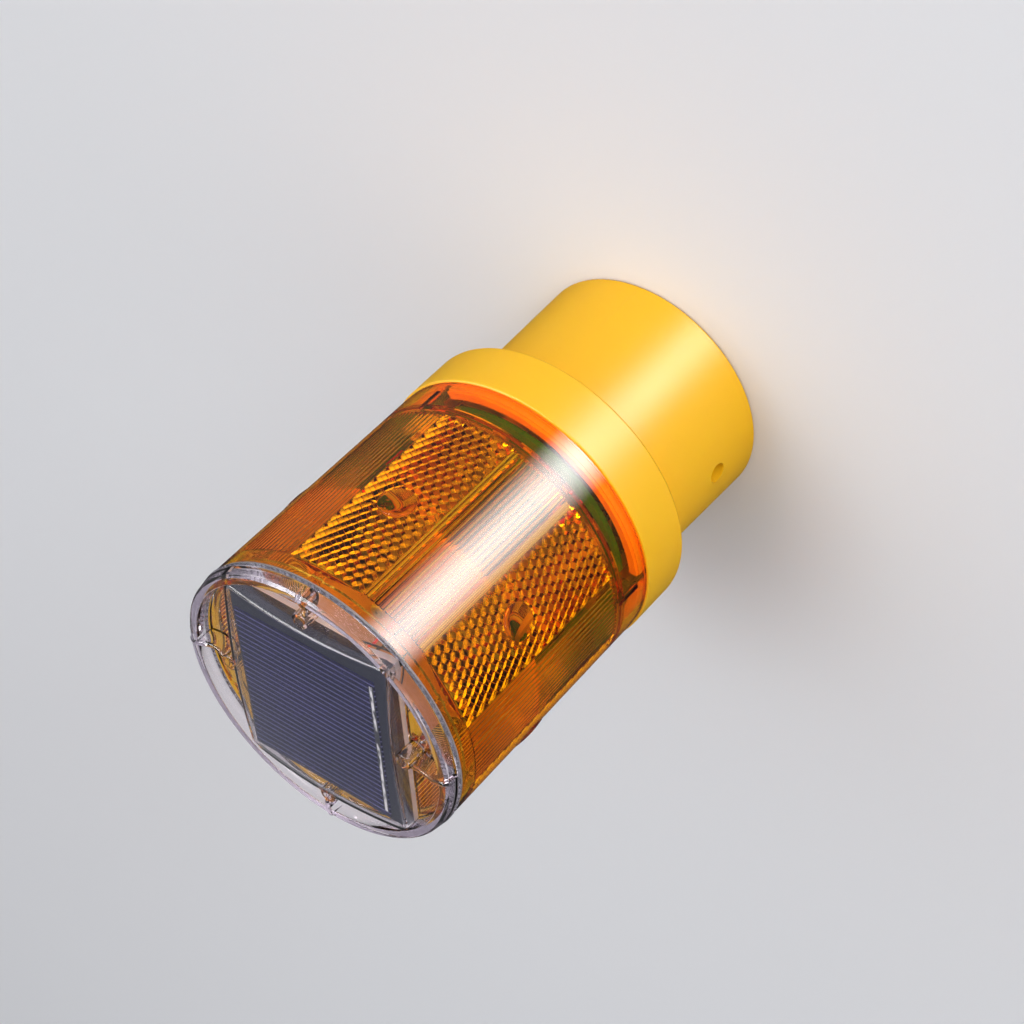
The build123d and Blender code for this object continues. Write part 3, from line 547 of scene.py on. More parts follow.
def lens_builder(settings):
    """The closed surface of the lens, without its posts."""
    builder = bmesh.new()
    inner = triangulate(inner_lines(settings))
    outer = triangulate(outer_lines())
    for number in range(FIELD_COUNT):
        middle = FIELD_FIRST_ANGLE + number * 360 / FIELD_COUNT
        for (points, faces), inside in ((inner, True), (outer, False)):
            made = []
            for u, z in points:
                offset = -inner_thickness(u, z, settings) if inside else outer_rise(u, z, settings)
                made.append(builder.verts.new(roll_up(u, z, wall_radius(z) + offset, middle)))
            for face in faces:
                builder.faces.new([made[corner] for corner in face])
    lathe(builder, flange_profile())
    lathe(builder, [(HEAD_RADIUS, LENS_TOP), (HEAD_RADIUS - FLUTE_WALL, LENS_TOP)])
    close_seams(builder)
    return builder


def outer_normal(point, settings):
    """Exact direction of the smooth outer surface of the body at a point of it."""
    angle = math.atan2(point.y, point.x)
    sector = FULL_TURN / FIELD_COUNT
    start = math.radians(FIELD_FIRST_ANGLE)
    middle = start + sector * round((angle - start) / sector)
    u, z = (angle - middle) * UNROLL_RADIUS, point.z
    slope_z = (HEAD_RADIUS - FLANGE_RADIUS) / (BODY_TOP - FLANGE_TOP) if z < BODY_TOP else 0
    slope_u = 0
    if math.hypot(u, z - BULGE_HEIGHT) <= WINDOW_RADIUS + STEP_WIDTH / 2:
        steepness = -2 * (settings.bulge_rise / MM - BULGE_STEP) / WINDOW_RADIUS ** 2
        slope_u = steepness * u
        slope_z += steepness * (z - BULGE_HEIGHT)
    radial = Vector((math.cos(angle), math.sin(angle), 0))
    around = Vector((-math.sin(angle), math.cos(angle), 0))
    return (radial - around * slope_u - Vector((0, 0, slope_z))).normalized()


def set_lens_normals(mesh, settings):
    """Give the outer wall its exact normals and keep the others as they are."""
    smooth_by_angle(mesh, LENS_SMOOTHING)
    normals = [corner.vector.copy() for corner in mesh.corner_normals]
    for polygon in mesh.polygons:
        points = [mesh.vertices[number].co / MM for number in polygon.vertices]
        rise = [math.hypot(point.x, point.y) - wall_radius(point.z) for point in points]
        inside = min(rise) < -WALL_PLAY or min(point.z for point in points) < FLANGE_TOP - TINY
        step = min(rise) < WALL_PLAY and max(rise) > BULGE_STEP / 2
        if inside or step or polygon.normal.z > LEVEL_FACE:
            continue
        for loop, point in zip(polygon.loop_indices, points):
            normals[loop] = outer_normal(point, settings)
    mesh.normals_split_custom_set(normals)


# The clear cover

def dome_height(x, y, depth=0):
    """Height over a point of the shallow dome, or of a surface this far inside it."""
    across = math.sqrt((DOME_RADIUS_ACROSS - depth) ** 2 - x * x)
    arch = DOME_RADIUS_ALONG - DOME_RADIUS_ACROSS + across
    return CROWN_HEIGHT - DOME_RADIUS_ALONG + math.sqrt(arch ** 2 - y * y)


def rounded_ring(half_x, half_y, corner, height):
    """Points round a rectangle with rounded corners; the height may be a function of place."""
    corner = min(corner, half_x, half_y)
    points = []
    for quarter in range(4):
        sign_x = 1 if quarter in (0, 3) else -1
        sign_y = 1 if quarter in (0, 1) else -1
        bend = arc((sign_x * (half_x - corner), sign_y * (half_y - corner)), corner,
                   quarter * 90, quarter * 90 + 90, CORNER_STEPS)
        nexts = {0: (-(half_x - corner), half_y), 1: (-half_x, -(half_y - corner)),
                 2: (half_x - corner, -half_y), 3: (half_x, half_y - corner)}[quarter]
        points += bend
        last = bend[-1]
        for step in range(1, SIDE_STEPS):
            share = step / SIDE_STEPS
            points.append((last[0] + (nexts[0] - last[0]) * share,
                           last[1] + (nexts[1] - last[1]) * share))
    return [(x, y, height(x, y) if callable(height) else height) for x, y in points]


def dome_rings(half_x, half_y, corner, depth, rounding):
    """Rings that climb round the top edge and close the dome towards its middle."""
    rings = []
    for step in range(ROUNDING_STEPS + 1):
        angle = math.radians(90 / ROUNDING_STEPS * step)
        inset = rounding * (1 - math.cos(angle))
        drop = rounding * (1 - math.sin(angle))
        rings.append(rounded_ring(half_x - inset, half_y - inset, corner,
                                  lambda x, y, drop=drop: dome_height(x, y, depth) - drop))
    inner_x, inner_y = half_x - rounding, half_y - rounding
    for number in range(1, DOME_RINGS):
        share = 1 - number / DOME_RINGS
        rings.append(rounded_ring(inner_x * share, inner_y * share, corner * share,
                                  lambda x, y: dome_height(x, y, depth)))
    return rings


def box_block(builder):
    """The solid block of the panel box under its dome."""
    rings = [rounded_ring(BOX_HALF_X, BOX_HALF_Y, BOX_CORNER, POCKET_UNDER)]
    rings += dome_rings(BOX_HALF_X, BOX_HALF_Y, BOX_CORNER, 0, BOX_ROUNDING)
    loft(builder, rings, (0, 0, CROWN_HEIGHT))


def box_hollow(builder):
    """The room inside the panel box."""
    half_x, half_y = BOX_HALF_X - BOX_WALL, BOX_HALF_Y - BOX_WALL
    rings = [rounded_ring(half_x, half_y, HOLLOW_CORNER, COVER_SPIGOT_LOW - CUT_REACH)]
    rings += dome_rings(half_x, half_y, HOLLOW_CORNER, DOME_WALL, HOLLOW_ROUNDING)
    loft(builder, rings, (0, 0, CROWN_HEIGHT - DOME_WALL))


def rim_disc(builder):
    """Rim, ring, spigot and pocket floors, turned in one piece."""
    edge = arc((RIM_EDGE_RADIUS - RIM_ROUNDING, RIM_EDGE_HEIGHT - RIM_CHAMFER), RIM_ROUNDING,
               10, 55, 3)
    crest = arc((RING_INNER + RIM_ROUNDING, RING_TOP - RIM_ROUNDING), RIM_ROUNDING, 90, 180, 4)
    under = [(0, POCKET_UNDER), (COVER_SPIGOT_BORE, POCKET_UNDER),
             (COVER_SPIGOT_BORE, COVER_SPIGOT_LOW), (COVER_SPIGOT_RADIUS, COVER_SPIGOT_LOW),
             (COVER_SPIGOT_RADIUS, COVER_FOOT)]
    side = [(RIM_RADIUS - RIM_CHAMFER, COVER_FOOT),
            (RIM_RADIUS - RIM_DRAFT, COVER_FOOT + RIM_CHAMFER)]
    pocket = [(RING_INNER, POCKET_TOP + RIM_CHAMFER), (RING_INNER - RIM_CHAMFER, POCKET_TOP),
              (0, POCKET_TOP)]
    lathe(builder, under + side + edge + [(RING_OUTER, RING_TOP)] + crest + pocket)


def boss_places():
    """Direction of each boss in degrees and its distance from the axis."""
    reach_x = BOX_HALF_X + BOSS_RADIUS - BOSS_OVERLAP
    reach_y = BOX_HALF_Y + BOSS_RADIUS - BOSS_OVERLAP
    return ((0, reach_x), (90, reach_y), (180, reach_x), (270, reach_y))


def cover_boss(builder, angle, distance):
    """An open boss beside the box."""
    foot = POCKET_UNDER + BOSS_FOOT
    lip = arc((BOSS_RADIUS - BOSS_ROUNDING, BOSS_TOP - BOSS_ROUNDING), BOSS_ROUNDING, 0, 90, 4)
    lathe(builder, [(0, foot), (BOSS_RADIUS, foot)] + lip + [(0, BOSS_TOP)], BOSS_STEPS,
          turned_place(angle, distance))


def boss_bore(builder, angle, distance):
    """The blind hole of a boss."""
    top = BOSS_TOP + CUT_REACH
    lathe(builder, [(0, POCKET_TOP), (BOSS_BORE, POCKET_TOP), (BOSS_BORE + BOSS_DRAFT, top),
                    (0, top)], BORE_STEPS, turned_place(angle, distance))


def cover_rib(builder, angle, distance, width):
    """A rib that leaves its boss in a bow, climbs over the ring and hooks down behind it."""
    turn = Matrix.Rotation(math.radians(angle), 4, "Z")
    reach = RIB_REACH - distance
    rings = []
    for number in range(RIB_STATIONS + 1):
        share = number / RIB_STATIONS
        x = distance + reach * share
        bend = math.pi * min(share * RIB_BOW_STRETCH, 1)
        y = -RIB_BOW * math.sin(bend) ** RIB_BOW_POWER
        top = RIB_CREST - RIB_SAG * math.sin(math.pi * min(share / RIB_SAG_END, 1)) ** 2
        top -= RIB_HOOK_DROP * max(share - RIB_HOOK_START, 0) ** 2 / RIB_HOOK_SPAN ** 2
        low = POCKET_UNDER + RIB_FOOT if x < RIB_STEP_RADIUS else RING_TOP - RIB_SINK
        half = width / 2 * (1 - RIB_TAPER * max(share - RIB_TAPER_START, 0) / RIB_TAPER_SPAN)
        slant = -RIB_BOW * math.pi / reach * math.cos(bend) * RIB_SLANT
        section = [(-half, low), (half, low)] + arc((0, top - half), half, 0, 180, 8)
        rings.append([turn @ Vector((x - across * slant, y + across, z)) for across, z in section])
    loft(builder, rings)


# Shader nodes

def add(tree, kind, inputs=None, **fields):
    """Add a node: each input is set to a value or linked to a socket."""
    node = tree.nodes.new(kind)
    for field, value in fields.items():
        setattr(node, field, value)
    for name, value in (inputs or {}).items():
        if isinstance(value, bpy.types.NodeSocket):
            tree.links.new(value, node.inputs[name])
        else:
            node.inputs[name].default_value = value
    return node


def maths(tree, operation, *values):
    """A Math node's result."""
    node = add(tree, "ShaderNodeMath", dict(enumerate(values)), operation=operation)
    return node.outputs[0]


def rescale(tree, value, from_low, from_high, to_low=0.0, to_high=1.0, kind="LINEAR"):
    """A value moved from one range to another, and held inside it."""
    node = add(tree, "ShaderNodeMapRange",
               {"Value": value, "From Min": from_low, "From Max": from_high, "To Min": to_low,
                "To Max": to_high}, interpolation_type=kind)
    return node.outputs["Result"]


def noise(tree, place, scale, detail=2.0):
    """A Noise Texture's value."""
    node = add(tree, "ShaderNodeTexNoise", {"Vector": place, "Scale": scale, "Detail": detail})
    return node.outputs["Fac"]


def blend(tree, factor, first, second):
    """A colour between two, each a colour or a socket."""
    node = add(tree, "ShaderNodeMix", {"Factor": factor, "A": first, "B": second}, data_type="RGBA")
    return node.outputs["Result"]


def object_place(tree):
    """The place on a piece, whole and split into X, Y and Z."""
    place = add(tree, "ShaderNodeTexCoord").outputs["Object"]
    return place, add(tree, "ShaderNodeSeparateXYZ", {0: place}).outputs


def distance_from(tree, value, middle):
    """How far a value is from a middle."""
    return maths(tree, "ABSOLUTE", maths(tree, "SUBTRACT", value, middle))


def new_group(name, inputs, outputs):
    """An empty shader node group with named sockets."""
    group = bpy.data.node_groups.new(name, "ShaderNodeTree")
    kinds = {"colour": "NodeSocketColor", "value": "NodeSocketFloat"}
    for socket, (kind, default) in inputs.items():
        made = group.interface.new_socket(socket, in_out="INPUT", socket_type=kinds[kind])
        made.default_value = default
    for socket, kind in outputs.items():
        group.interface.new_socket(socket, in_out="OUTPUT", socket_type=kinds[kind])
    given = group.nodes.new("NodeGroupInput").outputs
    return group, given, group.nodes.new("NodeGroupOutput").inputs


def moulded_surface_group():
    """Uneven tone, uneven gloss and fine grain of a moulded or finished surface."""
    name = "Moulded Surface"
    if name in bpy.data.node_groups:
        return bpy.data.node_groups[name]
    tree, given, result = new_group(
        name,
        {"Colour": ("colour", (0.8, 0.8, 0.8, 1)), "Tone Spread": ("value", 0.1),
         "Tone Size": ("value", 0.02), "Roughness": ("value", 0.5),
         "Roughness Spread": ("value", 0.1), "Grain Size": ("value", 0.0005)},
        {"Colour": "colour", "Roughness": "value", "Height": "value"})
    place = add(tree, "ShaderNodeTexCoord").outputs["Object"]
    tone_scale = maths(tree, "DIVIDE", 1.0, given["Tone Size"])
    shift = maths(tree, "SUBTRACT", noise(tree, place, tone_scale, 3.0), 0.5)
    brightness = maths(tree, "MULTIPLY_ADD", shift, given["Tone Spread"], 1.0)
    coloured = add(tree, "ShaderNodeHueSaturation", {"Color": given["Colour"], "Value": brightness})
    tree.links.new(coloured.outputs["Color"], result["Colour"])
    gloss = noise(tree, place, maths(tree, "MULTIPLY", tone_scale, 2.7))
    gloss_shift = maths(tree, "SUBTRACT", gloss, 0.5)
    rough = maths(tree, "MULTIPLY_ADD", gloss_shift, given["Roughness Spread"], given["Roughness"])
    tree.links.new(rough, result["Roughness"])
    grain = noise(tree, place, maths(tree, "DIVIDE", 1.0, given["Grain Size"]))
    tree.links.new(grain, result["Height"])
    return tree


def hair_marks_group():
    """Hair-fine handling scratches: long curved lines, few and uneven."""
    name = "Hair Marks"
    if name in bpy.data.node_groups:
        return bpy.data.node_groups[name]
    tree, given, result = new_group(
        name, {"Size": ("value", 0.012), "Amount": ("value", 0.5)}, {"Mask": "value"})
    place = add(tree, "ShaderNodeTexCoord").outputs["Object"]
    scale = maths(tree, "DIVIDE", 1.0, given["Size"])
    warp_scale = maths(tree, "MULTIPLY", scale, 0.4)
    warp = add(tree, "ShaderNodeTexNoise", {"Vector": place, "Scale": warp_scale})
    pushed = add(tree, "ShaderNodeVectorMath", {0: warp.outputs["Color"], "Scale": 0.02},
                 operation="SCALE")
    moved = add(tree, "ShaderNodeVectorMath", {0: place, 1: pushed.outputs[0]}, operation="ADD")
    cells = add(tree, "ShaderNodeTexVoronoi", {"Vector": moved.outputs[0], "Scale": scale},
                feature="DISTANCE_TO_EDGE")
    line = rescale(tree, cells.outputs["Distance"], 0.0, 0.004, 1.0, 0.0)
    kept = rescale(tree, noise(tree, place, scale), 0.62, 0.7)
    mask = maths(tree, "MULTIPLY", maths(tree, "MULTIPLY", line, kept), given["Amount"])
    tree.links.new(mask, result["Mask"])
    return tree


def use_group(tree, group, inputs):
    """Place a node group in a material."""
    node = add(tree, "ShaderNodeGroup", node_tree=group)
    for name, value in inputs.items():
        node.inputs[name].default_value = value
    return node


def new_material(name, **constants):
    """A material, its tree and its Principled shader, with the shader's named inputs set."""
    material = bpy.data.materials.new(name)
    material.use_nodes = True
    tree = material.node_tree
    tree.nodes.clear()
    shader = add(tree, "ShaderNodeBsdfPrincipled",
                 {field.replace("_", " "): value for field, value in constants.items()})
    add(tree, "ShaderNodeOutputMaterial", {"Surface": shader.outputs[0]})
    return material, tree, shader


def moulded_material(name, colour, tone, roughness, grain_size, **constants):
    """A material with a moulded surface; tone is spread and size, roughness value and spread."""
    material, tree, shader = new_material(name, **constants)
    surface = use_group(tree, moulded_surface_group(), {
        "Colour": (*colour, 1), "Tone Spread": tone[0], "Tone Size": tone[1],
        "Roughness": roughness[0], "Roughness Spread": roughness[1], "Grain Size": grain_size})
    for field, source in (("Base Color", "Colour"), ("Roughness", "Roughness")):
        tree.links.new(surface.outputs[source], shader.inputs[field])
    return material, tree, shader, surface.outputs["Height"]


def set_bump(tree, shader, height, depth):
    """Bump a shader's normal by a height that runs from 0 to 1 over a depth in metres."""
    bump = add(tree, "ShaderNodeBump", {"Height": height, "Distance": depth, "Strength": 1.0})
    tree.links.new(bump.outputs["Normal"], shader.inputs["Normal"])


# Plain finishes: colour, roughness, metallic, coat, tone spread and size, grain size and depth
FINISHES = {
    "seal_silicone": ((0.90, 0.62, 0.25), 0.45, 0, 0, 0.15, 0.01, 0.0005, 0.00004),
    "laminate_dark": ((0.002, 0.003, 0.007), 0.3, 0, 0, 0.3, 0.008, 0.0006, 0.00001),
    "board_green": ((0.06, 0.07, 0.02), 0.35, 0, 0.2, 0.25, 0.006, 0.0008, 0.00002),
    "board_tan": ((0.72, 0.40, 0.17), 0.4, 0, 0.1, 0.3, 0.006, 0.0008, 0.00002),
    "standoff_brass": ((0.78, 0.55, 0.22), 0.28, 1, 0, 0.15, 0.004, 0.0003, 0.00001),
    "screw_steel": ((0.62, 0.62, 0.63), 0.3, 1, 0, 0.2, 0.003, 0.0002, 0.00001),
    "switch_steel": ((0.66, 0.66, 0.66), 0.34, 1, 0, 0.2, 0.006, 0.0004, 0.00001),
    "slider_black": ((0.02, 0.02, 0.02), 0.55, 0, 0, 0.25, 0.002, 0.0003, 0.00003),
    "battery_wrap": ((0.08, 0.36, 0.17), 0.25, 0, 0.5, 0.2, 0.01, 0.002, 0.00002),
    "tray_black": ((0.03, 0.03, 0.032), 0.5, 0, 0, 0.25, 0.008, 0.0005, 0.00003),
    "contact_nickel": ((0.72, 0.70, 0.66), 0.22, 1, 0, 0.15, 0.004, 0.0004, 0.00001),
    "chip_black": ((0.025, 0.025, 0.028), 0.6, 0, 0, 0.3, 0.003, 0.0002, 0.00002),
    "ferrite_grey": ((0.09, 0.085, 0.085), 0.65, 0, 0, 0.35, 0.003, 0.0003, 0.00004),
    "capacitor_sleeve": ((0.03, 0.04, 0.10), 0.3, 0, 0.4, 0.2, 0.005, 0.001, 0.00001),
    "resistor_body": ((0.62, 0.45, 0.25), 0.4, 0, 0.3, 0.25, 0.002, 0.0003, 0.00001),
    "plug_white": ((0.82, 0.80, 0.72), 0.42, 0, 0, 0.12, 0.004, 0.0004, 0.00002),
    "lead_red": ((0.55, 0.02, 0.02), 0.4, 0, 0, 0.2, 0.004, 0.0004, 0.00002),
    "lead_black": ((0.02, 0.02, 0.02), 0.42, 0, 0, 0.2, 0.004, 0.0004, 0.00002),
}


def plain_finish(name):
    """A procedural finish from the table of finishes."""
    if name in bpy.data.materials:
        return bpy.data.materials[name]
    colour, roughness, metallic, coat, spread, tone_size, grain_size, grain_depth = FINISHES[name]
    material, tree, shader, height = moulded_material(
        name, colour, (spread, tone_size), (roughness, roughness / 3), grain_size,
        Metallic=metallic, Coat_Weight=coat)
    set_bump(tree, shader, height, grain_depth)
    return material


def housing_yellow(settings):
    """Satin yellow plastic with a faint mould seam near the socket's mouth."""
    material, tree, shader, grain = moulded_material(
        "housing_yellow", settings.colour, (0.05, 0.03), (0.36, 0.08), 0.00035,
        Subsurface_Weight=0.12, Subsurface_Radius=(1.0, 0.5, 0.05), Subsurface_Scale=0.002)
    place = object_place(tree)[1]
    beside = distance_from(tree, place["X"], settings.seam_place)
    line = rescale(tree, beside, 0.00005, 0.0002, 1.0, 0.0)
    front = rescale(tree, place["Y"], -0.001, 0.0, 1.0, 0.0)
    low = rescale(tree, place["Z"], settings.seam_height * 0.6, settings.seam_height, 1.0, 0.0)
    seam = maths(tree, "MULTIPLY", line, maths(tree, "MULTIPLY", front, low))
    set_bump(tree, shader, maths(tree, "MULTIPLY_ADD", seam, -4.0, grain), 0.000012)
    return material


def set_body_tint(tree, colour, density):
    """Fill a glass piece with a tint that deepens with the way through it."""
    tint = add(tree, "ShaderNodeVolumeAbsorption", {"Color": (*colour, 1), "Density": density})
    tree.links.new(tint.outputs[0], tree.nodes["Material Output"].inputs["Volume"])


def let_light_in(tree, shader, colour):
    """Let the lamps of the scene shine through a glass piece on what is inside it."""
    path = add(tree, "ShaderNodeLightPath")
    clear = add(tree, "ShaderNodeBsdfTransparent", {"Color": (*colour, 1)})
    mixed = add(tree, "ShaderNodeMixShader",
                {0: path.outputs["Is Shadow Ray"], 1: shader.outputs[0], 2: clear.outputs[0]})
    tree.links.new(mixed.outputs[0], tree.nodes["Material Output"].inputs["Surface"])


def marked_roughness(tree, shader, size, spread, clear):
    """Make a clear shader rough where hair marks lie, and give their mask."""
    mask = use_group(tree, hair_marks_group(), {"Size": size, "Amount": 1.0}).outputs["Mask"]
    tree.links.new(maths(tree, "MULTIPLY_ADD", mask, spread, clear), shader.inputs["Roughness"])
    return mask


def lens_amber(settings):
    """Clear amber plastic: thin parts are yellow and thick parts red-brown."""
    material, tree, shader = new_material(
        "lens_amber", Base_Color=(*settings.surface_colour, 1), Transmission_Weight=1.0,
        IOR=settings.ior)
    marked_roughness(tree, shader, 0.014, 0.15, 0.02)
    rounded = add(tree, "ShaderNodeBevel", {"Radius": settings.edge_rounding}, samples=4)
    place = add(tree, "ShaderNodeTexCoord").outputs["Object"]
    level = add(tree, "ShaderNodeVectorMath", {0: place, 1: (1.0, 1.0, 0.0)},
                operation="MULTIPLY")
    reach = add(tree, "ShaderNodeVectorMath", {0: level.outputs[0]}, operation="LENGTH")
    outside = maths(tree, "GREATER_THAN", reach.outputs["Value"],
                    (FLANGE_RADIUS - ROUNDED_DEPTH) * MM)
    normal = add(tree, "ShaderNodeMix", {"Factor": outside, "A": rounded.outputs["Normal"],
                                         "B": add(tree, "ShaderNodeNewGeometry").outputs["Normal"]},
                 data_type="VECTOR")
    tree.links.new(normal.outputs["Result"], shader.inputs["Normal"])
    set_body_tint(tree, settings.body_colour, settings.body_density)
    let_light_in(tree, shader, settings.light_colour)
    return material


def cover_clear(settings):
    """Clear plastic with a slight pinkish tint in its edges."""
    material, tree, shader = new_material(
        "cover_clear", Base_Color=(0.99, 0.98, 1.0, 1), Transmission_Weight=1.0, IOR=1.5)
    set_bump(tree, shader, marked_roughness(tree, shader, 0.009, 0.2, 0.015), 0.000008)
    set_body_tint(tree, settings.tint, settings.tint_density)
    let_light_in(tree, shader, (0.95, 0.94, 0.97))
    return material


def seal_clear():
    """Milky clear sealant."""
    material, tree, shader, height = moulded_material(
        "seal_clear", (0.82, 0.82, 0.85), (0.1, 0.004), (0.3, 0.1), 0.0008,
        Transmission_Weight=0.75, IOR=1.42)
    set_bump(tree, shader, height, 0.00004)
    return material


def lamp_epoxy():
    """Clear warm resin of the round lamps."""
    return moulded_material("lamp_epoxy", (1.0, 0.72, 0.28), (0.1, 0.002), (0.08, 0.05), 0.001,
                            Transmission_Weight=0.6, IOR=1.5)[0]


def cell_blue(settings):
    """Dark blue silicon with fine printed lines along X."""
    material, tree, shader = new_material("cell_blue", Specular_IOR_Level=0.25)
    place, split = object_place(tree)
    turns = maths(tree, "DIVIDE", split["Y"], settings.line_pitch)
    across = distance_from(tree, maths(tree, "FRACT", turns), 0.5)
    width = settings.line_width / settings.line_pitch / 2
    line = rescale(tree, across, width * 0.6, width * 1.6, 1.0, 0.0)
    wear = rescale(tree, noise(tree, place, 900.0), 0.25, 0.65, 0.55, 1.0)
    mask = maths(tree, "MULTIPLY", line, wear)
    cloud = rescale(tree, noise(tree, place, 60.0, 3.0), 0.35, 0.65)
    ground = blend(tree, cloud, (*settings.cell_colour, 1), (0.014, 0.014, 0.05, 1))
    tree.links.new(blend(tree, mask, ground, (*settings.line_colour, 1)),
                   shader.inputs["Base Color"])
    tree.links.new(rescale(tree, mask, 0.0, 1.0, 0.25, 0.4), shader.inputs["Roughness"])
    set_bump(tree, shader, mask, 0.00001)
    return material


def ribbon_tin():
    """Tinned ribbon with solder in uneven bright stretches along its middle."""
    material, tree, shader = new_material("ribbon_tin", Metallic=0.25)
    place, split = object_place(tree)
    stretched = add(tree, "ShaderNodeMapping", {"Vector": place, "Scale": (420.0, 170.0, 1.0)})
    blots = noise(tree, stretched.outputs[0], 1.0)
    middle = (RIBBON_LOW.x + RIBBON_HIGH.x) / 2 * MM
    half = (RIBBON_HIGH.x - RIBBON_LOW.x) / 2 * MM
    across = distance_from(tree, split["X"], middle)
    strip = rescale(tree, across, half * 0.45, half * 0.65, 1.0, 0.0)
    solder = maths(tree, "MULTIPLY", rescale(tree, blots, 0.44, 0.54), strip)
    tree.links.new(blend(tree, solder, (0.02, 0.025, 0.03, 1), (0.80, 0.82, 0.80, 1)),
                   shader.inputs["Base Color"])
    tree.links.new(rescale(tree, solder, 0.0, 1.0, 0.5, 0.32), shader.inputs["Roughness"])
    set_bump(tree, shader, blots, 0.00008)
    return material


def floor_paper(settings):
    """Pale matt studio floor."""
    return moulded_material("floor_paper", settings.floor_colour, (0.02, 0.2), (0.85, 0.1),
                            0.001)[0]


def dress(material, *nodes):
    """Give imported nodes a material."""
    for node in nodes:
        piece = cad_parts[node]
        if not piece.material_slots:
            piece.data.materials.append(material)
        for place in piece.material_slots:
            place.material = material


# Settings in the sidebar

def colour_setting(name, description, default):
    """A colour in the sidebar."""
    return bpy.props.FloatVectorProperty(name=name, description=description, default=default,
                                         subtype="COLOR", min=0, max=1)


def length_setting(name, description, default, **limits):
    """A length in the sidebar; its default is in millimetres."""
    return bpy.props.FloatProperty(name=name, description=description, default=default * MM,
                                   unit="LENGTH", subtype="DISTANCE", **limits)


def power_setting(name, description, default):
    """A light's power in the sidebar."""
    return bpy.props.FloatProperty(name=name, description=description, default=default, min=0,
                                   unit="POWER")


def share_setting(name, description, default, **limits):
    """A plain number in the sidebar."""
    return bpy.props.FloatProperty(name=name, description=description, default=default, **limits)


class HousingSettings(bpy.types.PropertyGroup):
    """Look of the yellow housing."""
    colour: colour_setting("Colour", "Colour of the yellow plastic", (0.98, 0.52, 0.008))
    seam_place: length_setting("Seam Place", "Place of the mould seam along X", 1.8)
    seam_height: length_setting("Seam Height", "How far the mould seam runs up the socket", 25)


class LensSettings(bpy.types.PropertyGroup):
    """Sizes and tint of the amber lens."""
    prism_pitch: length_setting("Prism Pitch", "Distance between like corners of the prisms", 2.78,
                                min=1.5 * MM)
    flute_depth: length_setting("Flute Depth", "Depth of the flutes between the fields", 0.5, min=0)
    bulge_rise: length_setting("Bulge Rise", "How far a bulge stands proud of the wall", 0.5,
                               min=0.2 * MM)
    edge_rounding: length_setting("Edge Rounding", "Rounding of the edges inside the lens", 0.18,
                                  min=0)
    surface_colour: colour_setting("Surface Colour", "Tint of light that crosses the surface",
                                   (1.0, 0.67, 0.19))
    body_colour: colour_setting("Body Colour", "Colour that the plastic lets through",
                                (0.99, 0.88, 0.0))
    body_density: share_setting("Body Density", "Strength of the tint per metre", 900, min=0)
    light_colour: colour_setting("Light Colour", "Tint of light that shines through the wall",
                                 (1.0, 0.84, 0.40))
    ior: share_setting("Refractive Index", "Refractive index of the plastic", 1.56, min=1)


class CoverSettings(bpy.types.PropertyGroup):
    """Sizes and tint of the clear cover."""
    rib_width: length_setting("Rib Width", "Width of the four ribs", 1.7)
    tint: colour_setting("Tint", "Colour that the clear plastic lets through", (0.85, 0.35, 0.6))
    tint_density: share_setting("Tint Density", "Strength of the tint per metre", 22, min=0)


class PanelSettings(bpy.types.PropertyGroup):
    """Look of the solar cell."""
    line_pitch: length_setting("Line Pitch", "Distance between the printed lines", 1.89)
    line_width: length_setting("Line Width", "Width of a printed line", 0.35)
    cell_colour: colour_setting("Cell Colour", "Colour of the silicon", (0.008, 0.010, 0.035))
    line_colour: colour_setting("Line Colour", "Colour of the printed lines", (0.09, 0.09, 0.22))


class StageSettings(bpy.types.PropertyGroup):
    """Floor and light of the studio."""
    floor_colour: colour_setting("Floor Colour", "Colour of the floor", (0.80, 0.80, 0.81))
    key_power: power_setting("Key Power", "Power of the softbox beside the lamp", 12)
    gleam_power: power_setting("Gleam Power", "Power of the softbox that gives the streak", 31)
    fill_power: power_setting("Fill Power", "Power of the softbox that the prisms throw back", 22)
    edge_power: power_setting("Edge Power", "Power of the softbox for the edges of the cover", 40)
    top_power: power_setting("Top Power", "Power of the soft light overhead", 12)
    sky_strength: share_setting("Sky Strength", "Even light on the camera's side", 0.9, min=0)
    dusk_strength: share_setting("Dusk Strength", "Even light behind the lamp", 0.2, min=0)
    pit_strength: share_setting("Pit Strength", "Share of the even light from below the floor", 0.2,
                                min=0, max=1)


# Operators

class BuildHousing(bpy.types.Operator):
    """Finish the yellow housing"""
    bl_idname = "warning_light.housing"
    bl_label = "Yellow Housing"

    def execute(self, context):
        dress(housing_yellow(context.scene.light_housing), "base_housing")
        return {"FINISHED"}


class BuildLens(bpy.types.Operator):
    """Build the amber lens with its prisms, flutes, bulges and posts"""
    bl_idname = "warning_light.lens"
    bl_label = "Amber Lens"

    def execute(self, context):
        settings = context.scene.light_lens
        piece = make_piece("lens_shell", lens_builder(settings), lens_amber(settings))
        tools = [tool_object("post", lens_post, angle) for angle in POST_ANGLES]
        tools += [tool_object("web", post_web, angle) for angle in POST_ANGLES]
        combine(piece, tools, "UNION")
        set_lens_normals(piece.data, settings)
        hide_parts("amber_lens")
        return {"FINISHED"}


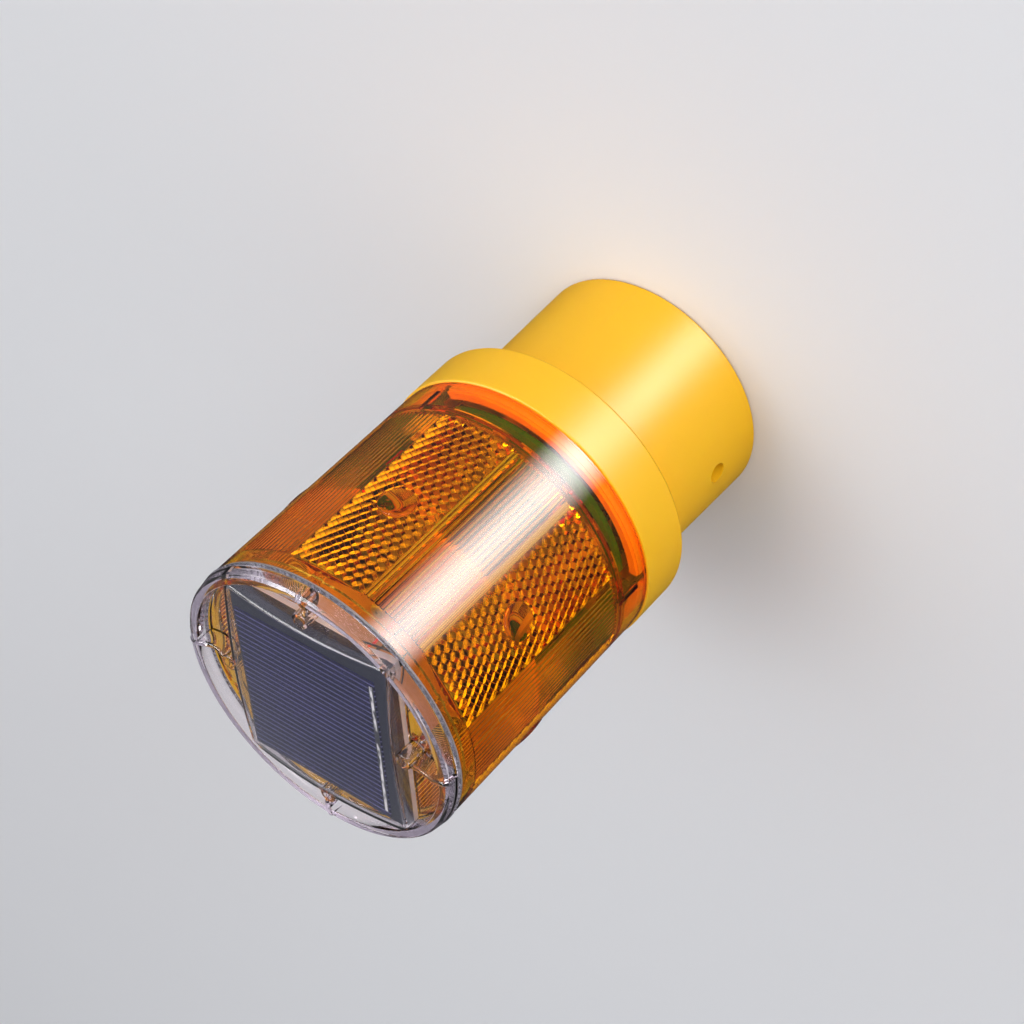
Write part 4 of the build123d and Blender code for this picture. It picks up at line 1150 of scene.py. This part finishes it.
class BuildCover(bpy.types.Operator):
    """Build the clear cover with its rim, pockets, bosses, ribs and domed panel box"""
    bl_idname = "warning_light.cover"
    bl_label = "Clear Cover"

    def execute(self, context):
        settings = context.scene.light_cover
        builder = bmesh.new()
        rim_disc(builder)
        close_seams(builder)
        piece = make_piece("cover_shell", builder, cover_clear(settings))
        joined = [tool_object("box", box_block)]
        for place in boss_places():
            joined.append(tool_object("boss", cover_boss, *place))
            joined.append(tool_object("rib", cover_rib, *place, settings.rib_width / MM))
        cuts = [tool_object("hollow", box_hollow)]
        cuts += [tool_object("bore", boss_bore, *place) for place in boss_places()]
        combine(piece, joined, "UNION")
        combine(piece, cuts, "DIFFERENCE")
        smooth_by_angle(piece.data, COVER_SMOOTHING)
        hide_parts("solar_cover")
        return {"FINISHED"}


class BuildPanel(bpy.types.Operator):
    """Finish the solar cell, its backing and its ribbon"""
    bl_idname = "warning_light.panel"
    bl_label = "Solar Panel"

    def execute(self, context):
        dress(cell_blue(context.scene.light_panel), "solar_cell")
        backing = plain_finish("laminate_dark")
        backing.node_tree.nodes["Principled BSDF"].inputs["Specular IOR Level"].default_value = 0.15
        dress(backing, "solar_laminate")
        dress(ribbon_tin(), "cell_ribbon")
        return {"FINISHED"}


class BuildSeals(bpy.types.Operator):
    """Finish the seals and the sealant"""
    bl_idname = "warning_light.seals"
    bl_label = "Seals"

    def execute(self, context):
        dress(plain_finish("seal_silicone"), "lens_seal")
        dress(seal_clear(), "cover_seal", "panel_sealant")
        return {"FINISHED"}


class BuildBoards(bpy.types.Operator):
    """Finish the two boards, their standoffs, screws and parts"""
    bl_idname = "warning_light.boards"
    bl_label = "Boards"

    def execute(self, context):
        dress(plain_finish("board_green"), "control_board")
        dress(plain_finish("board_tan"), "light_board")
        dress(plain_finish("standoff_brass"), "board_standoffs")
        dress(plain_finish("screw_steel"), "lens_screws", "board_screws", "standoff_screws_low",
              "standoff_screws_high", "switch_screws")
        dress(plain_finish("chip_black"), "control_chip")
        dress(plain_finish("ferrite_grey"), "inductor")
        dress(plain_finish("capacitor_sleeve"), "capacitor")
        dress(plain_finish("resistor_body"), "resistors")
        dress(plain_finish("plug_white"), "lead_plug")
        return {"FINISHED"}


class BuildLamps(bpy.types.Operator):
    """Finish the six round lamps"""
    bl_idname = "warning_light.lamps"
    bl_label = "Round Lamps"

    def execute(self, context):
        dress(lamp_epoxy(), *[f"lamp_{number}" for number in range(1, FIELD_COUNT + 1)])
        return {"FINISHED"}


class BuildBattery(bpy.types.Operator):
    """Finish the battery, its tray, contacts and spring"""
    bl_idname = "warning_light.battery"
    bl_label = "Battery"

    def execute(self, context):
        dress(plain_finish("battery_wrap"), "battery_cell")
        dress(plain_finish("tray_black"), "battery_tray")
        dress(plain_finish("contact_nickel"), "battery_contact_plus", "battery_contact_minus",
              "battery_spring")
        return {"FINISHED"}


class BuildSwitch(bpy.types.Operator):
    """Finish the slide switch"""
    bl_idname = "warning_light.switch"
    bl_label = "Slide Switch"

    def execute(self, context):
        dress(plain_finish("switch_steel"), "switch_body")
        dress(plain_finish("slider_black"), "switch_slider")
        return {"FINISHED"}


class BuildLeads(bpy.types.Operator):
    """Finish the red and black leads"""
    bl_idname = "warning_light.leads"
    bl_label = "Leads"

    def execute(self, context):
        dress(plain_finish("lead_red"), "battery_lead_red", "solar_lead_red", "lamp_lead_red",
              "switch_lead_one")
        dress(plain_finish("lead_black"), "battery_lead_black", "solar_lead_black",
              "lamp_lead_black", "switch_lead_two")
        return {"FINISHED"}


class BuildStage(bpy.types.Operator):
    """Set the floor, the studio light and the camera"""
    bl_idname = "warning_light.stage"
    bl_label = "Stage"

    def execute(self, context):
        settings = context.scene.light_stage
        make_floor(settings)
        make_lights(context.scene, settings)
        make_camera(context.scene)
        context.scene.view_settings.view_transform = "Standard"
        return {"FINISHED"}


def make_floor(settings):
    """A large level floor under the socket's mouth."""
    half = FLOOR_HALF
    mesh = bpy.data.meshes.new("floor")
    mesh.from_pydata([(-half, -half, 0), (half, -half, 0), (half, half, 0), (-half, half, 0)], [],
                     [(0, 1, 2, 3)])
    floor = bpy.data.objects.new("floor", mesh)
    bpy.context.scene.collection.objects.link(floor)
    mesh.materials.append(floor_paper(settings))
    floor.location.z = -FLOOR_GAP
    floor.visible_glossy = False
    floor.visible_shadow = False


def soft_light(name, aim, direction, distance, size, power, feathers):
    """A rectangular soft light that faces a point from a direction and fades towards its edges."""
    data = bpy.data.lights.new(name, "AREA")
    data.shape = "RECTANGLE"
    data.size, data.size_y = size
    data.energy = power
    data.use_nodes = True
    tree = data.node_tree
    spot = add(tree, "ShaderNodeNewGeometry").outputs["Parametric"]
    place = add(tree, "ShaderNodeSeparateXYZ", {0: spot})
    fade = 1.0
    for axis, feather in zip(("X", "Y"), feathers):
        beside = distance_from(tree, place.outputs[axis], 0.5)
        fade = maths(tree, "MULTIPLY", fade,
                     rescale(tree, beside, 0.5 - feather, 0.5, 1.0, 0.0, "SMOOTHSTEP"))
    tree.links.new(fade, tree.nodes["Emission"].inputs["Strength"])
    light = bpy.data.objects.new(name, data)
    bpy.context.scene.collection.objects.link(light)
    direction = Vector(direction).normalized()
    light.location = Vector(aim) + direction * distance
    light.rotation_euler = direction.to_track_quat("Z", "Y").to_euler()
    return light


def make_lights(scene, settings):
    """Softboxes beside, over and before the lamp, and an even sky."""
    middle = (0, 0, (FLANGE_TOP + LENS_TOP) / 2 * MM)
    for name, direction, distance, size, feathers, unseen in SOFTBOXES:
        power = getattr(settings, name.split("_")[0] + "_power")
        light = soft_light(name, middle, direction, distance, size, power, feathers)
        for kind in unseen:
            setattr(light, f"visible_{kind}", False)
    world = bpy.data.worlds.new("studio")
    world.use_nodes = True
    tree = world.node_tree
    background = tree.nodes["Background"]
    background.inputs["Color"].default_value = (0.93, 0.95, 1.0, 1)
    seen = add(tree, "ShaderNodeTexCoord").outputs["Generated"]
    way = add(tree, "ShaderNodeSeparateXYZ", {0: seen})
    sky = rescale(tree, way.outputs["Y"], -0.4, 0.5, settings.sky_strength, settings.dusk_strength,
                  "SMOOTHSTEP")
    above = rescale(tree, way.outputs["Z"], -0.2, 0.0, settings.pit_strength, 1.0, "SMOOTHSTEP")
    tree.links.new(maths(tree, "MULTIPLY", sky, above), background.inputs["Strength"])
    scene.world = world


def make_camera(scene):
    """The camera at the photograph's place and angle."""
    data = bpy.data.cameras.new("photo_camera")
    data.sensor_width = SENSOR_WIDTH
    data.lens = SENSOR_WIDTH * FOCAL_PIXELS / FRAME_PIXELS
    data.clip_start = 0.01
    camera = bpy.data.objects.new("photo_camera", data)
    scene.collection.objects.link(camera)
    right = Vector(CAMERA_RIGHT).normalized()
    forward = right.cross(Vector(CAMERA_DOWN)).normalized()
    down = forward.cross(right)
    turn = Matrix((right, -down, -forward)).transposed()
    camera.matrix_world = Matrix.Translation(Vector(CAMERA_PLACE) * MM) @ turn.to_4x4()
    scene.camera = camera


class WarningLightPanel(bpy.types.Panel):
    """Lists the pieces of the warning light and their settings"""
    bl_idname = "VIEW3D_PT_warning_light"
    bl_label = "Warning Light"
    bl_space_type = "VIEW_3D"
    bl_region_type = "UI"
    bl_category = "Warning Light"

    def draw(self, context):
        for operator in OPERATORS:
            self.layout.operator(operator.bl_idname)
        for name in SETTINGS:
            box = self.layout.box()
            group = getattr(context.scene, name)
            for field in SETTINGS[name].__annotations__:
                box.prop(group, field)


SETTINGS = {"light_housing": HousingSettings, "light_lens": LensSettings,
            "light_cover": CoverSettings, "light_panel": PanelSettings,
            "light_stage": StageSettings}
OPERATORS = (BuildHousing, BuildLens, BuildCover, BuildPanel, BuildSeals, BuildBoards, BuildLamps,
             BuildBattery, BuildSwitch, BuildLeads, BuildStage)


def register():
    """Register the classes and hang the settings on the scene."""
    for kind in (*SETTINGS.values(), *OPERATORS, WarningLightPanel):
        bpy.utils.register_class(kind)
    for name, kind in SETTINGS.items():
        setattr(bpy.types.Scene, name, bpy.props.PointerProperty(type=kind))


def unregister():
    """Undo what register did."""
    for name in SETTINGS:
        delattr(bpy.types.Scene, name)
    for kind in (WarningLightPanel, *reversed(OPERATORS), *reversed(SETTINGS.values())):
        bpy.utils.unregister_class(kind)


def main():
    """Build every piece and the stage."""
    register()
    for operator in OPERATORS:
        family, name = operator.bl_idname.split(".")
        getattr(getattr(bpy.ops, family), name)()


if __name__ == "__main__":
    main()
